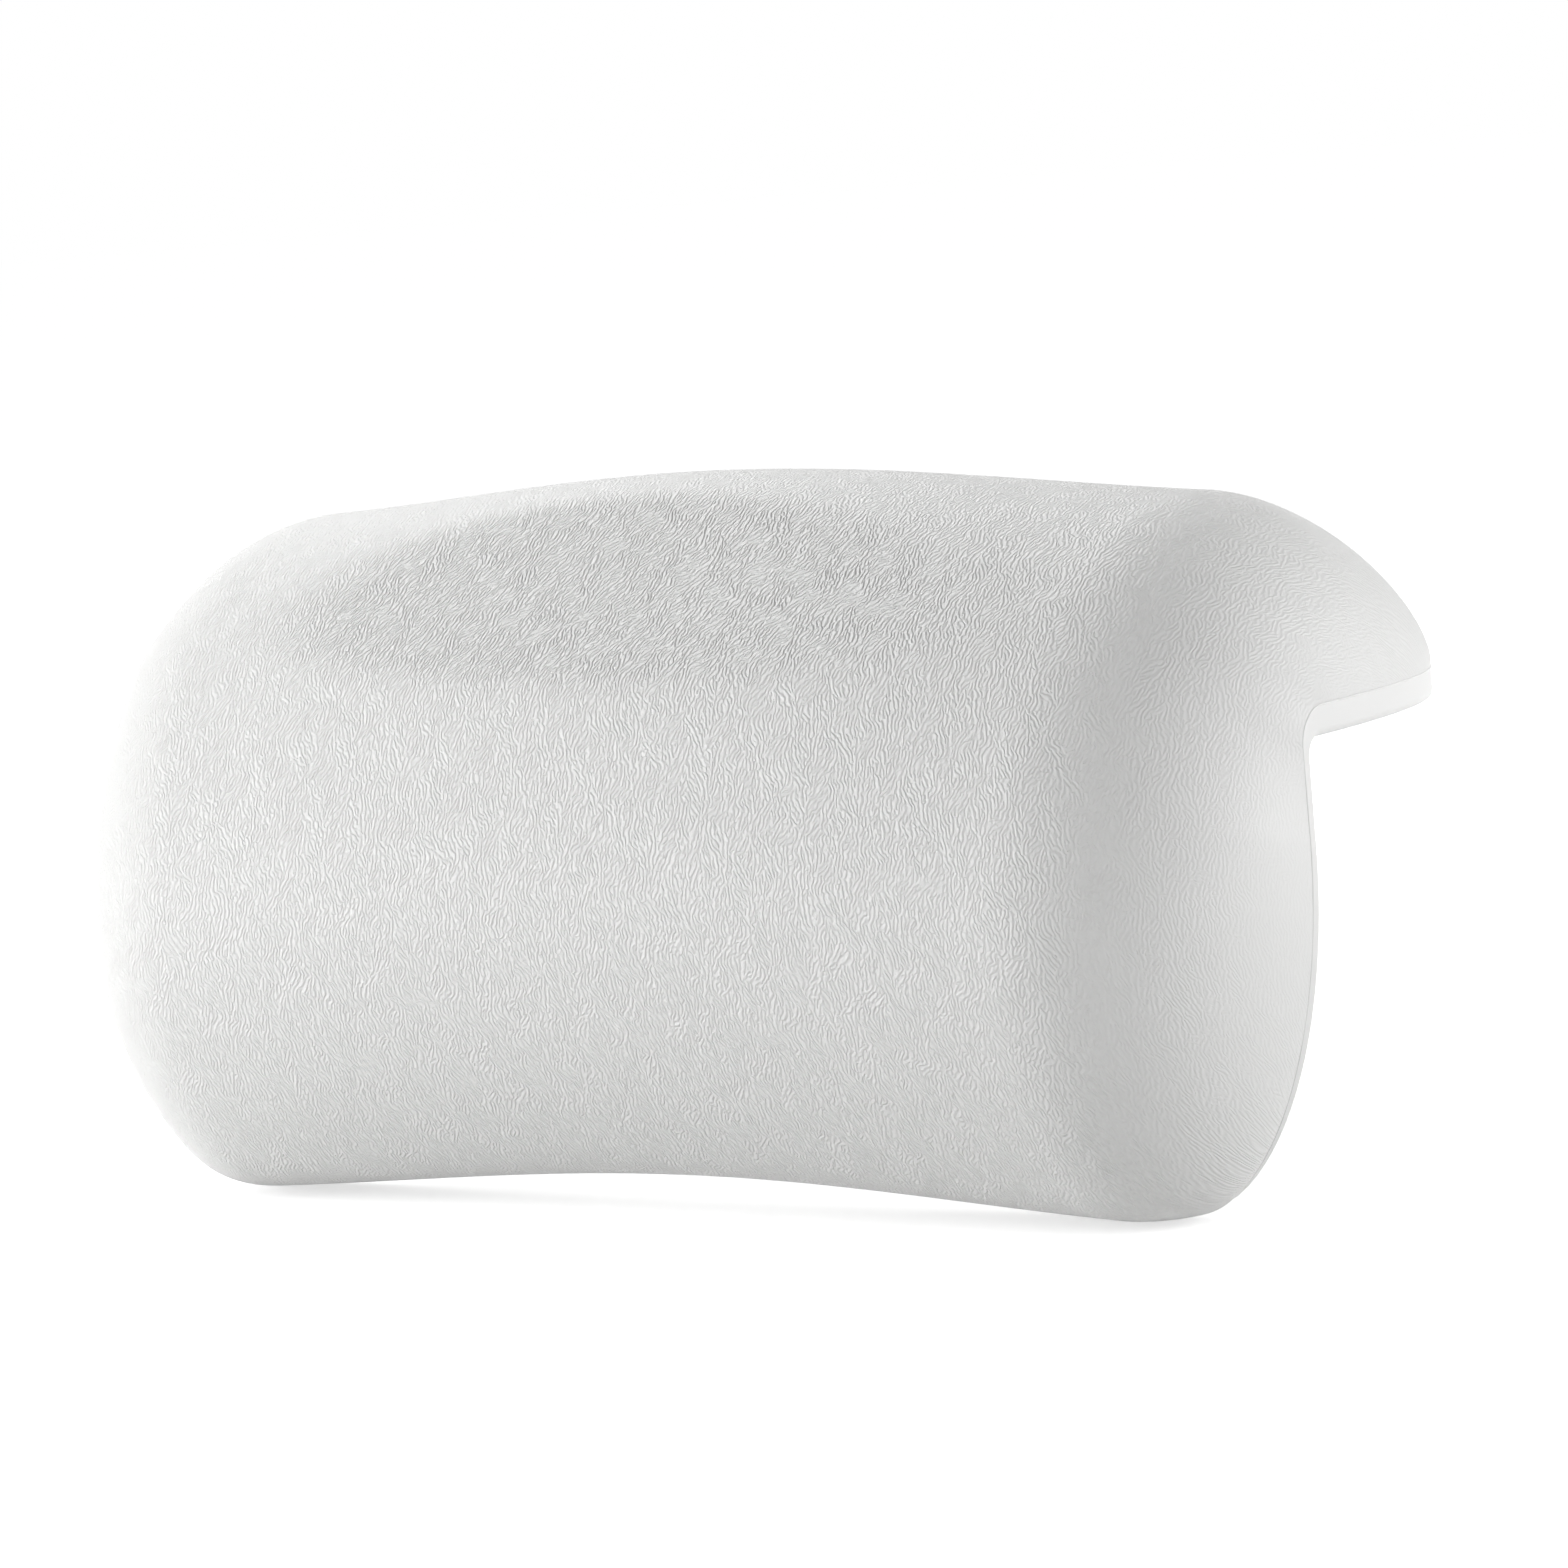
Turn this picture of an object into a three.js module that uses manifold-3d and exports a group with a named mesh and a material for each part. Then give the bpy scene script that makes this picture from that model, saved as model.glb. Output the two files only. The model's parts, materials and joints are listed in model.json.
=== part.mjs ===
// Bath pillow: a padded L-shaped head rest that hooks over the rim of a tub.
// Millimetres, +Z up. The front faces -Y, the hook reaches back along +Y. Every size below is set
// from the inner corner of the hook, and the finished group is moved so that the middle of the
// hook's underside, where it sits on the rim, is the origin.
import * as THREE from "three";
import { mergeVertices } from "three/addons/utils/BufferGeometryUtils.js";
import Module from "manifold-3d";

const wasm = await Module();
wasm.setup();

// Clearances
const fitGap = 0.3;
const cutOver = 1;
const weldDistance = 1e-4;

// Overall sizes
const width = 320;
const bodyDrop = 100;
const hookReach = 73;

// Side profile of the padding: foot, belly, crest and tip
const footDepth = 38;
const footRise = 13.8;
const footSlope = THREE.MathUtils.degToRad(51.1);
const bellyDepth = 54.5;
const bellyDrop = 38.4;
const crestReach = 24.9;
const crestHeight = 48.1;
const soleHandleShare = 0.55;
const heelHandleShare = 0.38;
const shinHandleShare = 0.27;
const bellyLowHandleShare = 0.42;
const bellyHighHandleShare = 0.325;
const crestHandleShare = 0.67;
const hookHandleShare = 0.29;
const tipHandleShare = 0.6;

// Outline seen from the front and from above
const widestDrop = 20.9;
const lowerNarrowing = 38.9;
const lowerPower = 1.98;
const tipNarrowing = 22.8;
const tipPower = 2.01;

// Rounded ends: how far in from the widest place they start, and how they turn from there
const footEnd = 41.2;
const bellyEnd = 54.9;
const chestEnd = 42.5;
const tipEnd = 34.4;
const leastEnd = 10;
const frontTurnShare = 0.49;
const sideTurnShare = 0.63;
const crownLeanShare = 0.17;

// Arches and hollows along the width
const topArch = 16.3;
const lowerArch = 7.2;
const frontHollow = 2.4;

// Head scoop: a flat cut across the slope below the crest
const scoopTilt = THREE.MathUtils.degToRad(45.1);
const scoopOffset = 40.5;
const scoopSoftness = 1.6;

// Skins
const skinWall = 2;
const backThick = 3;
const hookThick = 6.5;
const cornerRound = 8;
const innerFillet = 4;
const rearEdgeRound = 2;
const partingLagShare = 0.1035;

// Stiffener
const stiffThick = 3;
const stiffWidth = 250;
const stiffBend = 8;
const stiffFootMargin = 16;
const stiffTipMargin = 14;

// Cup housings: centred on the hook, and on the flat of the back above its foot
const housingEndInset = 75;
const backFlatTop = 19;
const backFlatFoot = 10;
const backFlat = bodyDrop - backFlatTop - backFlatFoot;
const backCupDrop = backFlatTop + backFlat / 2;
const hookCupReach = hookReach / 2;
const housingMargin = 8;
const housingRadius = Math.min(hookReach, backFlat) / 2 - housingMargin;
const housingWall = 1.6;
const housingFloor = 2;
const housingDepth = 12;
const pocketDepth = 4;
const pocketWall = 1.6;
const headPlay = 0.8;

// Suction cups
const cupMargin = 6;
const cupRadius = housingRadius - cupMargin;
const cupProud = 2.5;
const lipThick = 1.2;
const lipFlat = 2;
const domeThick = 3;
const domeShare = 0.41;
const domeBulgeShare = 0.77;
const domeDropShare = 0.11;
const neckRadius = 3;
const headRadius = 4.4;
const headEdge = 0.8;
const tabLength = 8;
const tabWidth = 9;
const tabThick = 1.4;
const tabLap = 2;

// How finely the forms are divided
const acrossSteps = 26;
const endSteps = 6;
const alongSteps = 18;
const crowdingShare = 0.4;
const edgeSteps = 3;
const bodySteps = 8;
const cornerSteps = 6;
const hookSteps = 6;
const domeSteps = 5;
const turnSteps = 40;

const grainedWhite = new THREE.MeshStandardMaterial({ color: 0xe4e4e4, roughness: 0.5, metalness: 0 });
const smoothWhite = new THREE.MeshStandardMaterial({ color: 0xe9e9e9, roughness: 0.35, metalness: 0 });
const foamCream = new THREE.MeshStandardMaterial({ color: 0xf1ead2, roughness: 0.95, metalness: 0 });
const plateGrey = new THREE.MeshStandardMaterial({ color: 0x8f9296, roughness: 0.6, metalness: 0 });
const housingWhite = new THREE.MeshStandardMaterial({ color: 0xdededc, roughness: 0.4, metalness: 0 });
const clearVinyl = new THREE.MeshStandardMaterial({ color: 0xd8e2e4, roughness: 0.15, metalness: 0 });

// The whole numbers from 0 up to, but without, the count.
function range(count) {
  return Array.from({ length: count }, (_, k) => k);
}

// A closed geometry as a manifold-3d solid.
function solidOf(geometry) {
  const bare = geometry.clone();
  bare.deleteAttribute("normal");
  bare.deleteAttribute("uv");
  const merged = mergeVertices(bare, weldDistance);
  const corners = merged.index.array;
  const kept = range(corners.length / 3)
    .map((k) => [corners[3 * k], corners[3 * k + 1], corners[3 * k + 2]])
    .filter(([a, b, c]) => a !== b && b !== c && c !== a);
  return new wasm.Manifold(
    new wasm.Mesh({
      numProp: 3,
      vertProperties: new Float32Array(merged.attributes.position.array),
      triVerts: new Uint32Array(kept.flat()),
    }),
  );
}

// A manifold-3d solid as a geometry with flat faces.
function geometryOf(solid) {
  const mesh = solid.getMesh();
  const geometry = new THREE.BufferGeometry();
  geometry.setAttribute("position", new THREE.BufferAttribute(mesh.vertProperties, 3));
  geometry.setIndex(new THREE.BufferAttribute(mesh.triVerts, 1));
  const flat = geometry.toNonIndexed();
  flat.computeVertexNormals();
  return flat;
}

// Where a step lies between two rounded ends: flat runs from -1 to 1 between the roundings,
// and round from 0 to 1 over each of them.
function spread(step, count, roundSteps) {
  const offset = step - count / 2;
  const flatHalf = count / 2 - roundSteps;
  return {
    side: Math.sign(offset),
    flat: THREE.MathUtils.clamp(offset / flatHalf, -1, 1),
    round: Math.max(0, Math.abs(offset) - flatHalf) / roundSteps,
  };
}

// The larger of 0 and a depth, eased over the softness on both sides of 0.
function softDepth(depth, softness) {
  if (depth <= -softness) return 0;
  return depth >= softness ? depth : (depth + softness) ** 2 / (4 * softness);
}

// An L-shaped path in side view: up the front line, round the bend, and back along the top line.
function elbowPath(front, top, round, inset) {
  const middle = new THREE.Vector2(front + round, top - round);
  const foot = new THREE.Vector2(front, inset - bodyDrop);
  const tip = new THREE.Vector2(hookReach - inset, top);
  const path = new THREE.CurvePath();
  path.add(new THREE.LineCurve(foot, new THREE.Vector2(front, middle.y)));
  path.add(new THREE.EllipseCurve(middle.x, middle.y, round, round, Math.PI, Math.PI / 2, true));
  path.add(new THREE.LineCurve(new THREE.Vector2(middle.x, top), tip));
  return path;
}

// The parting surface in side view, from the foot up and back to the hook's tip.
// The lift moves it off the back panel into the padding, and the inset draws its two ends in.
function partingPath(lift, inset) {
  return elbowPath(-backThick - lift, hookThick + lift, cornerRound + lift, inset);
}

// The padding's side profile, from the foot over the belly and the crest to the hook's tip.
function paddingProfile(lift) {
  const foot = new THREE.Vector2(-backThick - lift, -bodyDrop);
  const heel = new THREE.Vector2(-footDepth, footRise - bodyDrop);
  const belly = new THREE.Vector2(-bellyDepth, -bellyDrop);
  const crest = new THREE.Vector2(crestReach, crestHeight);
  const tip = new THREE.Vector2(hookReach, hookThick + lift);
  const forward = new THREE.Vector2(-1, 0);
  const upward = new THREE.Vector2(0, 1);
  const shin = new THREE.Vector2(-Math.cos(footSlope), Math.sin(footSlope));
  const handle = (from, direction, length) => from.clone().addScaledVector(direction, length);
  const soleLength = foot.distanceTo(heel);
  const shinLength = heel.distanceTo(belly);
  const chestRise = crest.y - belly.y;
  const chestRun = crest.x - belly.x;
  const stretches = [
    [foot, handle(foot, forward, soleHandleShare * soleLength),
      handle(heel, shin, -heelHandleShare * soleLength), heel],
    [heel, handle(heel, shin, shinHandleShare * shinLength),
      handle(belly, upward, -bellyLowHandleShare * (belly.y - heel.y)), belly],
    [belly, handle(belly, upward, bellyHighHandleShare * chestRise),
      handle(crest, forward, crestHandleShare * chestRun), crest],
    [crest, handle(crest, forward, -hookHandleShare * (tip.x - crest.x)),
      handle(tip, upward, tipHandleShare * (crest.y - tip.y)), tip],
  ];
  const path = new THREE.CurvePath();
  for (const points of stretches) path.add(new THREE.CubicBezierCurve(...points));
  return path;
}

// Half the width of the outline at a point of the parting surface.
function halfWidth(at, inset) {
  const low = Math.max(0, -widestDrop - at.y) / (bodyDrop - inset - widestDrop);
  const back = Math.max(0, at.x + backThick) / (hookReach - inset + backThick);
  const corner = (share, power) => 1 - Math.max(0, 1 - share ** power) ** (1 / power);
  const narrowing = lowerNarrowing * corner(low, lowerPower) + tipNarrowing * corner(back, tipPower);
  return width / 2 - inset - narrowing;
}

// How much of the arch a place across the width has: all in the middle, none at the ends.
function bowShare(x) {
  return Math.cos((Math.PI * x) / width) ** 2;
}

// How far up the body a height on the parting surface is: 0 below the widest place, 1 from the hook's bend.
function risingShare(z) {
  return THREE.MathUtils.clamp((z + widestDrop) / (hookThick - cornerRound + widestDrop), 0, 1);
}

// How far from the middle the flat front ends at a share of the way along the profile.
function foldDistance(share) {
  const ends = [footEnd, bellyEnd, chestEnd, tipEnd].map((end) => new THREE.Vector2(width / 2 - end, 0));
  return new THREE.CubicBezierCurve(...ends).getPoint(share).x;
}

// The turn of a rounded end, from the flat front to the parting surface. Across it x goes from 0
// to 1, and the fullness y from 1 to 0.
function endTurn(lean) {
  return new THREE.CubicBezierCurve(
    new THREE.Vector2(0, 1),
    new THREE.Vector2(frontTurnShare, 1),
    new THREE.Vector2(1 - lean, sideTurnShare),
    new THREE.Vector2(1, 0),
  );
}

// The padding's outer form, drawn in by the inset, as a body that runs on behind the parting surface.
function paddingForm(inset) {
  const behind = partingPath(-cutOver, inset);
  const profile = paddingProfile(-cutOver);
  const rows = range(alongSteps + 1).map((j) => {
    const even = j / alongSteps;
    const share = THREE.MathUtils.lerp(even, (1 - Math.cos(Math.PI * even)) / 2, crowdingShare);
    const base = behind.getPoint(share + partingLagShare * share * (1 - share));
    const tangent = profile.getTangent(share);
    const inward = new THREE.Vector2(tangent.y, -tangent.x);
    const face = profile.getPoint(share).addScaledVector(inward, inset);
    const half = halfWidth(base, inset);
    const fold = Math.min(foldDistance(share), half + inset - leastEnd);
    const rise = risingShare(base.y);
    const reach = Math.max(0, base.x + backThick) / (hookReach + backThick);
    const crown = rise * (1 - reach);
    return { base, face, half, fold, rise, crown, end: endTurn(crownLeanShare * crown) };
  });
  const across = (i, row) => {
    const { side, flat, round } = spread(i, acrossSteps, endSteps);
    const turn = row.end.getPoint(round);
    return { x: flat * row.fold + side * (row.half - row.fold) * turn.x, fullness: turn.y };
  };
  const front = (i, j) => {
    const row = rows[j];
    const { x, fullness } = across(i, row);
    const depth = THREE.MathUtils.clamp(-(row.face.x + backThick) / (bellyDepth - backThick), 0, 1);
    const arch = lowerArch * (1 - row.rise) + fullness * topArch * row.crown;
    const point = new THREE.Vector3(
      x,
      THREE.MathUtils.lerp(row.base.x, row.face.x, fullness) + frontHollow * bowShare(x) * fullness * depth,
      THREE.MathUtils.lerp(row.base.y, row.face.y, fullness) + arch * bowShare(x),
    );
    return pressScoop(point, inset);
  };
  const back = (i, j) => {
    const row = rows[j];
    const { x } = across(i, row);
    return new THREE.Vector3(x, row.base.x, row.base.y + lowerArch * (1 - row.rise) * bowShare(x));
  };
  return bodyBetween(front, back, acrossSteps, alongSteps);
}

// Moves a point that lies in front of the head scoop's surface back onto it.
function pressScoop(point, inset) {
  const facing = new THREE.Vector3(0, -Math.sin(scoopTilt), Math.cos(scoopTilt));
  const depth = point.dot(facing) - (scoopOffset - inset);
  return point.addScaledVector(facing, -softDepth(depth, scoopSoftness));
}

// A closed body between two sheets of points with the same steps, joined round their edges.
function bodyBetween(outer, inner, across, along) {
  const sheets = [outer, inner];
  const places = range(along + 1).flatMap((j) => range(across + 1).map((i) => [i, j]));
  const points = sheets.flatMap((sheet) => places.map(([i, j]) => sheet(i, j)));
  const at = (i, j) => j * (across + 1) + i;
  const toInner = (corner) => corner + places.length;
  const outerFaces = range(along).flatMap((j) =>
    range(across).map((i) => [at(i, j), at(i + 1, j), at(i + 1, j + 1), at(i, j + 1)]),
  );
  const innerFaces = outerFaces.map((face) => face.map(toInner).reverse());
  const edge = [
    ...range(across).map((i) => at(i, 0)),
    ...range(along).map((j) => at(across, j)),
    ...range(across).map((i) => at(across - i, along)),
    ...range(along).map((j) => at(0, along - j)),
  ];
  const rim = edge.map((corner, k) => {
    const next = edge[(k + 1) % edge.length];
    return [next, corner, toInner(corner), toInner(next)];
  });
  const faces = [...outerFaces, ...innerFaces, ...rim];
  const index = faces.flatMap(([a, b, c, d]) => [a, b, c, a, c, d]);
  return solidOf(new THREE.BufferGeometry().setFromPoints(points).setIndex(index));
}

// A prism across the width from an outline in side view.
function sidePrism(outline, prismWidth) {
  const geometry = new THREE.ExtrudeGeometry(outline, {
    depth: prismWidth,
    curveSegments: cornerSteps,
    bevelEnabled: false,
  });
  const across = new THREE.Matrix4().makeBasis(
    new THREE.Vector3(0, 1, 0),
    new THREE.Vector3(0, 0, 1),
    new THREE.Vector3(1, 0, 0),
  );
  return solidOf(geometry.translate(0, 0, -prismWidth / 2).applyMatrix4(across));
}

// All that lies behind and under the parting surface, which cuts the padding off there.
function behindParting() {
  const front = -backThick - fitGap;
  const top = hookThick + fitGap;
  const round = cornerRound + fitGap;
  const far = hookReach + cutOver;
  const low = -bodyDrop - cutOver;
  const outline = new THREE.Shape();
  outline.moveTo(front, low);
  outline.lineTo(far, low);
  outline.lineTo(far, top);
  outline.lineTo(front + round, top);
  outline.absarc(front + round, top - round, round, Math.PI / 2, Math.PI, false);
  return sidePrism(outline, width + cutOver);
}

// The stiffener, an L-shaped plate against the cup housings, or with a clearance the slot for it.
function stiffenerPlate(clearance) {
  const near = housingDepth + fitGap - clearance;
  const far = near + stiffThick + 2 * clearance;
  const round = stiffBend + clearance;
  const foot = stiffFootMargin - bodyDrop - clearance;
  const tip = hookReach - stiffTipMargin + clearance;
  const outline = new THREE.Shape();
  outline.moveTo(-near, foot);
  outline.lineTo(-near, near - round);
  outline.absarc(round - near, near - round, round, Math.PI, Math.PI / 2, true);
  outline.lineTo(tip, near);
  outline.lineTo(tip, far);
  outline.lineTo(round - near, far);
  outline.absarc(round - near, near - round, round + far - near, Math.PI / 2, Math.PI, false);
  outline.lineTo(-far, foot);
  return sidePrism(outline, stiffWidth + 2 * clearance);
}

// The back panel's rows from foot to tip: a point on the parting surface, the point of the
// rear faces behind it, and how full the panel is there, since its rear edge is rounded.
function panelRows() {
  const parting = partingPath(0, 0).curves;
  const rear = elbowPath(0, 0, innerFillet, 0).curves;
  const [bodyEdge, , hookEdge] = parting.map((curve) => rearEdgeRound / curve.getLength());
  const turns = range(edgeSteps).map((k) => (Math.PI / 2) * (1 - k / edgeSteps));
  const rowOn = (stretch, share, turn) => ({
    front: parting[stretch].getPoint(share),
    rear: rear[stretch].getPoint(share),
    fullness: Math.cos(turn),
  });
  return [
    ...turns.map((turn) => rowOn(0, bodyEdge * (1 - Math.sin(turn)), turn)),
    ...range(bodySteps).map((k) => rowOn(0, THREE.MathUtils.lerp(bodyEdge, 1, k / bodySteps), 0)),
    ...range(cornerSteps).map((k) => rowOn(1, k / cornerSteps, 0)),
    ...range(hookSteps + 1).map((k) => rowOn(2, (1 - hookEdge) * (k / hookSteps), 0)),
    ...turns.reverse().map((turn) => rowOn(2, 1 - hookEdge * (1 - Math.sin(turn)), turn)),
  ];
}

// The back panel, between the parting surface and the two faces that meet the tub.
function panelForm() {
  const rows = panelRows();
  const place = (i, row) => {
    const { side, flat, round } = spread(i, acrossSteps, edgeSteps);
    const turn = (Math.PI / 2) * round;
    const half = halfWidth(row.front, 0);
    const x = flat * (half - rearEdgeRound) + side * rearEdgeRound * Math.sin(turn);
    const arch = lowerArch * (1 - risingShare(row.front.y)) * bowShare(x);
    return { x, arch, edge: rearEdgeRound * (1 - row.fullness * Math.cos(turn)) };
  };
  const front = (i, j) => {
    const { x, arch } = place(i, rows[j]);
    return new THREE.Vector3(x, rows[j].front.x, rows[j].front.y + arch);
  };
  const rear = (i, j) => {
    const { x, arch, edge } = place(i, rows[j]);
    const inward = rows[j].front.clone().sub(rows[j].rear).normalize();
    const point = rows[j].rear.clone().addScaledVector(inward, edge);
    return new THREE.Vector3(x, point.x, point.y + arch);
  };
  return bodyBetween(front, rear, acrossSteps, rows.length - 1);
}

// A round piece about the Y axis from its profile of radius and height along the axis.
function turned(profile) {
  const points = profile.map(([radius, height]) => new THREE.Vector2(radius, height));
  return new THREE.LatheGeometry(points, turnSteps);
}

// A cup housing: a round pan that opens at the tub's side, with a blind pocket for the cup's stud.
const floorHeight = housingFloor - housingDepth;
const pocketRadius = headRadius + headPlay;
function housingGeometry() {
  const pocketEnd = -housingDepth - pocketDepth;
  return turned([
    [0, pocketEnd - pocketWall],
    [pocketRadius + pocketWall, pocketEnd - pocketWall],
    [pocketRadius + pocketWall, -housingDepth],
    [housingRadius, -housingDepth],
    [housingRadius, 0],
    [housingRadius - housingWall, 0],
    [housingRadius - housingWall, floorHeight],
    [neckRadius + fitGap, floorHeight],
    [neckRadius + fitGap, -housingDepth],
    [pocketRadius, -housingDepth],
    [pocketRadius, pocketEnd],
    [0, pocketEnd],
  ]);
}

// The space that a housing takes in the panel, the stiffener and the foam.
function housingSpace() {
  const pocketEnd = -housingDepth - pocketDepth - pocketWall - fitGap;
  return turned([
    [0, pocketEnd],
    [pocketRadius + pocketWall + fitGap, pocketEnd],
    [pocketRadius + pocketWall + fitGap, -housingDepth - fitGap],
    [housingRadius + fitGap, -housingDepth - fitGap],
    [housingRadius + fitGap, cutOver],
    [0, cutOver],
  ]);
}

// A suction cup: a mushroom stud in the housing's pocket, a neck, the dome with its lip, and a pull tab.
function suctionCup() {
  const shoulder = floorHeight + fitGap;
  const headFront = -housingDepth - fitGap;
  const headBack = -housingDepth - pocketDepth + fitGap;
  const rise = cupProud - shoulder;
  const bend = (from, to, height) => {
    const pull = new THREE.Vector2(domeBulgeShare * cupRadius, height);
    const [start, end] = [new THREE.Vector2(...from), new THREE.Vector2(...to)];
    const curve = new THREE.QuadraticBezierCurve(start, pull, end);
    return curve.getPoints(domeSteps).map((point) => [point.x, point.y]);
  };
  const underside = shoulder + domeThick;
  const domeTop = shoulder + domeDropShare * rise;
  const profile = [
    [0, headBack],
    [neckRadius, headBack],
    [headRadius, headFront - headEdge],
    [headRadius, headFront],
    [neckRadius, headFront],
    [neckRadius, shoulder],
    ...bend([domeShare * cupRadius, shoulder], [cupRadius, cupProud - lipThick], domeTop),
    [cupRadius, cupProud],
    ...bend([cupRadius - lipFlat, cupProud], [0, underside], underside),
  ];
  return solidOf(turned(profile)).add(solidOf(pullTab()));
}

// The pull tab, flush with the cup's lip, reaching out along +Z with a round end.
function pullTab() {
  const half = tabWidth / 2;
  const far = cupRadius + tabLength - half;
  const outline = new THREE.Shape();
  outline.moveTo(half, cupRadius - tabLap);
  outline.lineTo(half, far);
  outline.absarc(0, far, half, 0, Math.PI, false);
  outline.lineTo(-half, cupRadius - tabLap);
  const thickness = { depth: tabThick, curveSegments: domeSteps, bevelEnabled: false };
  const tab = new THREE.ExtrudeGeometry(outline, thickness);
  return tab.rotateX(Math.PI / 2).translate(0, cupProud, 0);
}

// The four places for a cup: a group at each, whose own +Y points out towards the tub.
const quarter = Math.PI / 2;
const sideways = width / 2 - housingEndInset;
const stations = [
  { name: "back_left", x: -sideways, y: 0, z: -backCupDrop, tilt: 0, tabTurn: Math.PI },
  { name: "back_right", x: sideways, y: 0, z: -backCupDrop, tilt: 0, tabTurn: Math.PI },
  { name: "hook_left", x: -sideways, y: hookCupReach, z: 0, tilt: -quarter, tabTurn: 0 },
  { name: "hook_right", x: sideways, y: hookCupReach, z: 0, tilt: -quarter, tabTurn: 0 },
].map((station) => {
  const group = new THREE.Group();
  group.position.set(station.x, station.y, station.z);
  group.rotation.x = station.tilt;
  group.updateMatrix();
  return { ...station, group };
});

function cutForHousings(solid) {
  return stations.reduce(
    (left, { group }) => left.subtract(solidOf(housingSpace().applyMatrix4(group.matrix))),
    solid,
  );
}

function addPiece(group, name, geometry, material) {
  const mesh = new THREE.Mesh(geometry, material);
  mesh.name = name;
  group.add(mesh);
  return mesh;
}

const behind = behindParting();
const frontSkin = paddingForm(0).subtract(paddingForm(skinWall)).subtract(behind);
const panel = cutForHousings(panelForm());
const foamForm = paddingForm(skinWall + fitGap).subtract(behind);
const foam = cutForHousings(foamForm.subtract(stiffenerPlate(fitGap)));
const stiffener = cutForHousings(stiffenerPlate(0));

const pillow = new THREE.Group();
pillow.position.y = -hookCupReach;
addPiece(pillow, "front_skin", geometryOf(frontSkin), grainedWhite);
addPiece(pillow, "back_panel", geometryOf(panel), smoothWhite);
addPiece(pillow, "foam_core", geometryOf(foam), foamCream);
addPiece(pillow, "stiffener", geometryOf(stiffener), plateGrey);
for (const { name, group, tabTurn } of stations) {
  pillow.add(group);
  addPiece(group, `cup_housing_${name}`, housingGeometry(), housingWhite);
  const cup = addPiece(group, `suction_cup_${name}`, geometryOf(suctionCup()), clearVinyl);
  cup.rotation.y = tabTurn;
}

const part = new THREE.Group();
part.add(pillow);
export default part;
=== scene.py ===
"""Bath pillow: a padded, grained head rest that hooks over the rim of a tub and holds by suction cups.

Metres, +Z up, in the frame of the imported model. The front faces -Y and the hook reaches along +Y.
The sizes are measured from the inner corner of the hook, and each finished piece is moved from
there to the frame's origin, the middle of the hook's underside.
"""
import json
import math

import bmesh
import bpy
import numpy as np
from mathutils import Matrix, Vector


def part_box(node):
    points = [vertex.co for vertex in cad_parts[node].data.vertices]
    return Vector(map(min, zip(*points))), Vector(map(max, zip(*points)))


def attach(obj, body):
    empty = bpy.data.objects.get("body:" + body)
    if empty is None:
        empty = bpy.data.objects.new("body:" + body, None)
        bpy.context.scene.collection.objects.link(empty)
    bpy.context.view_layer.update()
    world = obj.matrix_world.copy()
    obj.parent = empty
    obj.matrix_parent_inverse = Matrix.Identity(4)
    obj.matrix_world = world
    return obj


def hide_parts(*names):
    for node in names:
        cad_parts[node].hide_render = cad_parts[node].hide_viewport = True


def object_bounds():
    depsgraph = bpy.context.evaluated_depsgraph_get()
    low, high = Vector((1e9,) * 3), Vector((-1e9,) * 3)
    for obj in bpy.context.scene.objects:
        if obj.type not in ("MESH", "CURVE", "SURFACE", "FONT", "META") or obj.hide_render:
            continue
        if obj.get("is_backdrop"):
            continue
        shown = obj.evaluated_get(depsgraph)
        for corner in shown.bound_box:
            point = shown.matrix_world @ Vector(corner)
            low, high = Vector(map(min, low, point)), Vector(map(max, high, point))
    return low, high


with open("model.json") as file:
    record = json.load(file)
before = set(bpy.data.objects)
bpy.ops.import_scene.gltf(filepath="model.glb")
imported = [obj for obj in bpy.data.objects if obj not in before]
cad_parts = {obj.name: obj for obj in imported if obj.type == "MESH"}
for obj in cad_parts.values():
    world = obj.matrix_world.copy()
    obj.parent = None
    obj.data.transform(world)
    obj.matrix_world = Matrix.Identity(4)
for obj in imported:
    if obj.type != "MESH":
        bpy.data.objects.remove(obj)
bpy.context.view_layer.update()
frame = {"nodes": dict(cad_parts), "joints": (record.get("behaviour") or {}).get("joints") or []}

bl_info = {
    "name": "Bath pillow",
    "version": (1, 0, 0),
    "blender": (4, 5, 0),
    "location": "3D View > Sidebar > Bath pillow",
    "description": "Builds a moulded bath pillow, its suction cups and the stage it is shown on",
    "category": "Add Mesh",
}

PANEL_LOW, PANEL_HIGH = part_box("back_panel")
PLATE_LOW, PLATE_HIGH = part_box("stiffener")
HOUSING_LOW, HOUSING_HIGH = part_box("cup_housing_back_left")
CUP_LOW, CUP_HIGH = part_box("suction_cup_back_left")
SWIVELS = {joint["child"]: joint for joint in frame["joints"]}
WALL_Y = SWIVELS["cup_back_left"]["pos_m"][1]
CORNER = Vector((0, WALL_Y, 0))


def length(name, description, default, least=0.0):
    return bpy.props.FloatProperty(
        name=name, description=description, default=default, min=least, precision=4, unit="LENGTH"
    )


def angle(name, description, degrees):
    return bpy.props.FloatProperty(
        name=name, description=description, default=math.radians(degrees), subtype="ANGLE"
    )


def number(name, description, default):
    return bpy.props.FloatProperty(name=name, description=description, default=default, min=0)


def count(name, description, default):
    return bpy.props.IntProperty(name=name, description=description, default=default, min=1)


def linear(code):
    """An sRGB hex value as the linear colour that Blender works with."""
    parts = [int(code[k : k + 2], 16) / 255 for k in (0, 2, 4)]
    return tuple(c / 12.92 if c <= 0.04045 else ((c + 0.055) / 1.055) ** 2.4 for c in parts)


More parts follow.
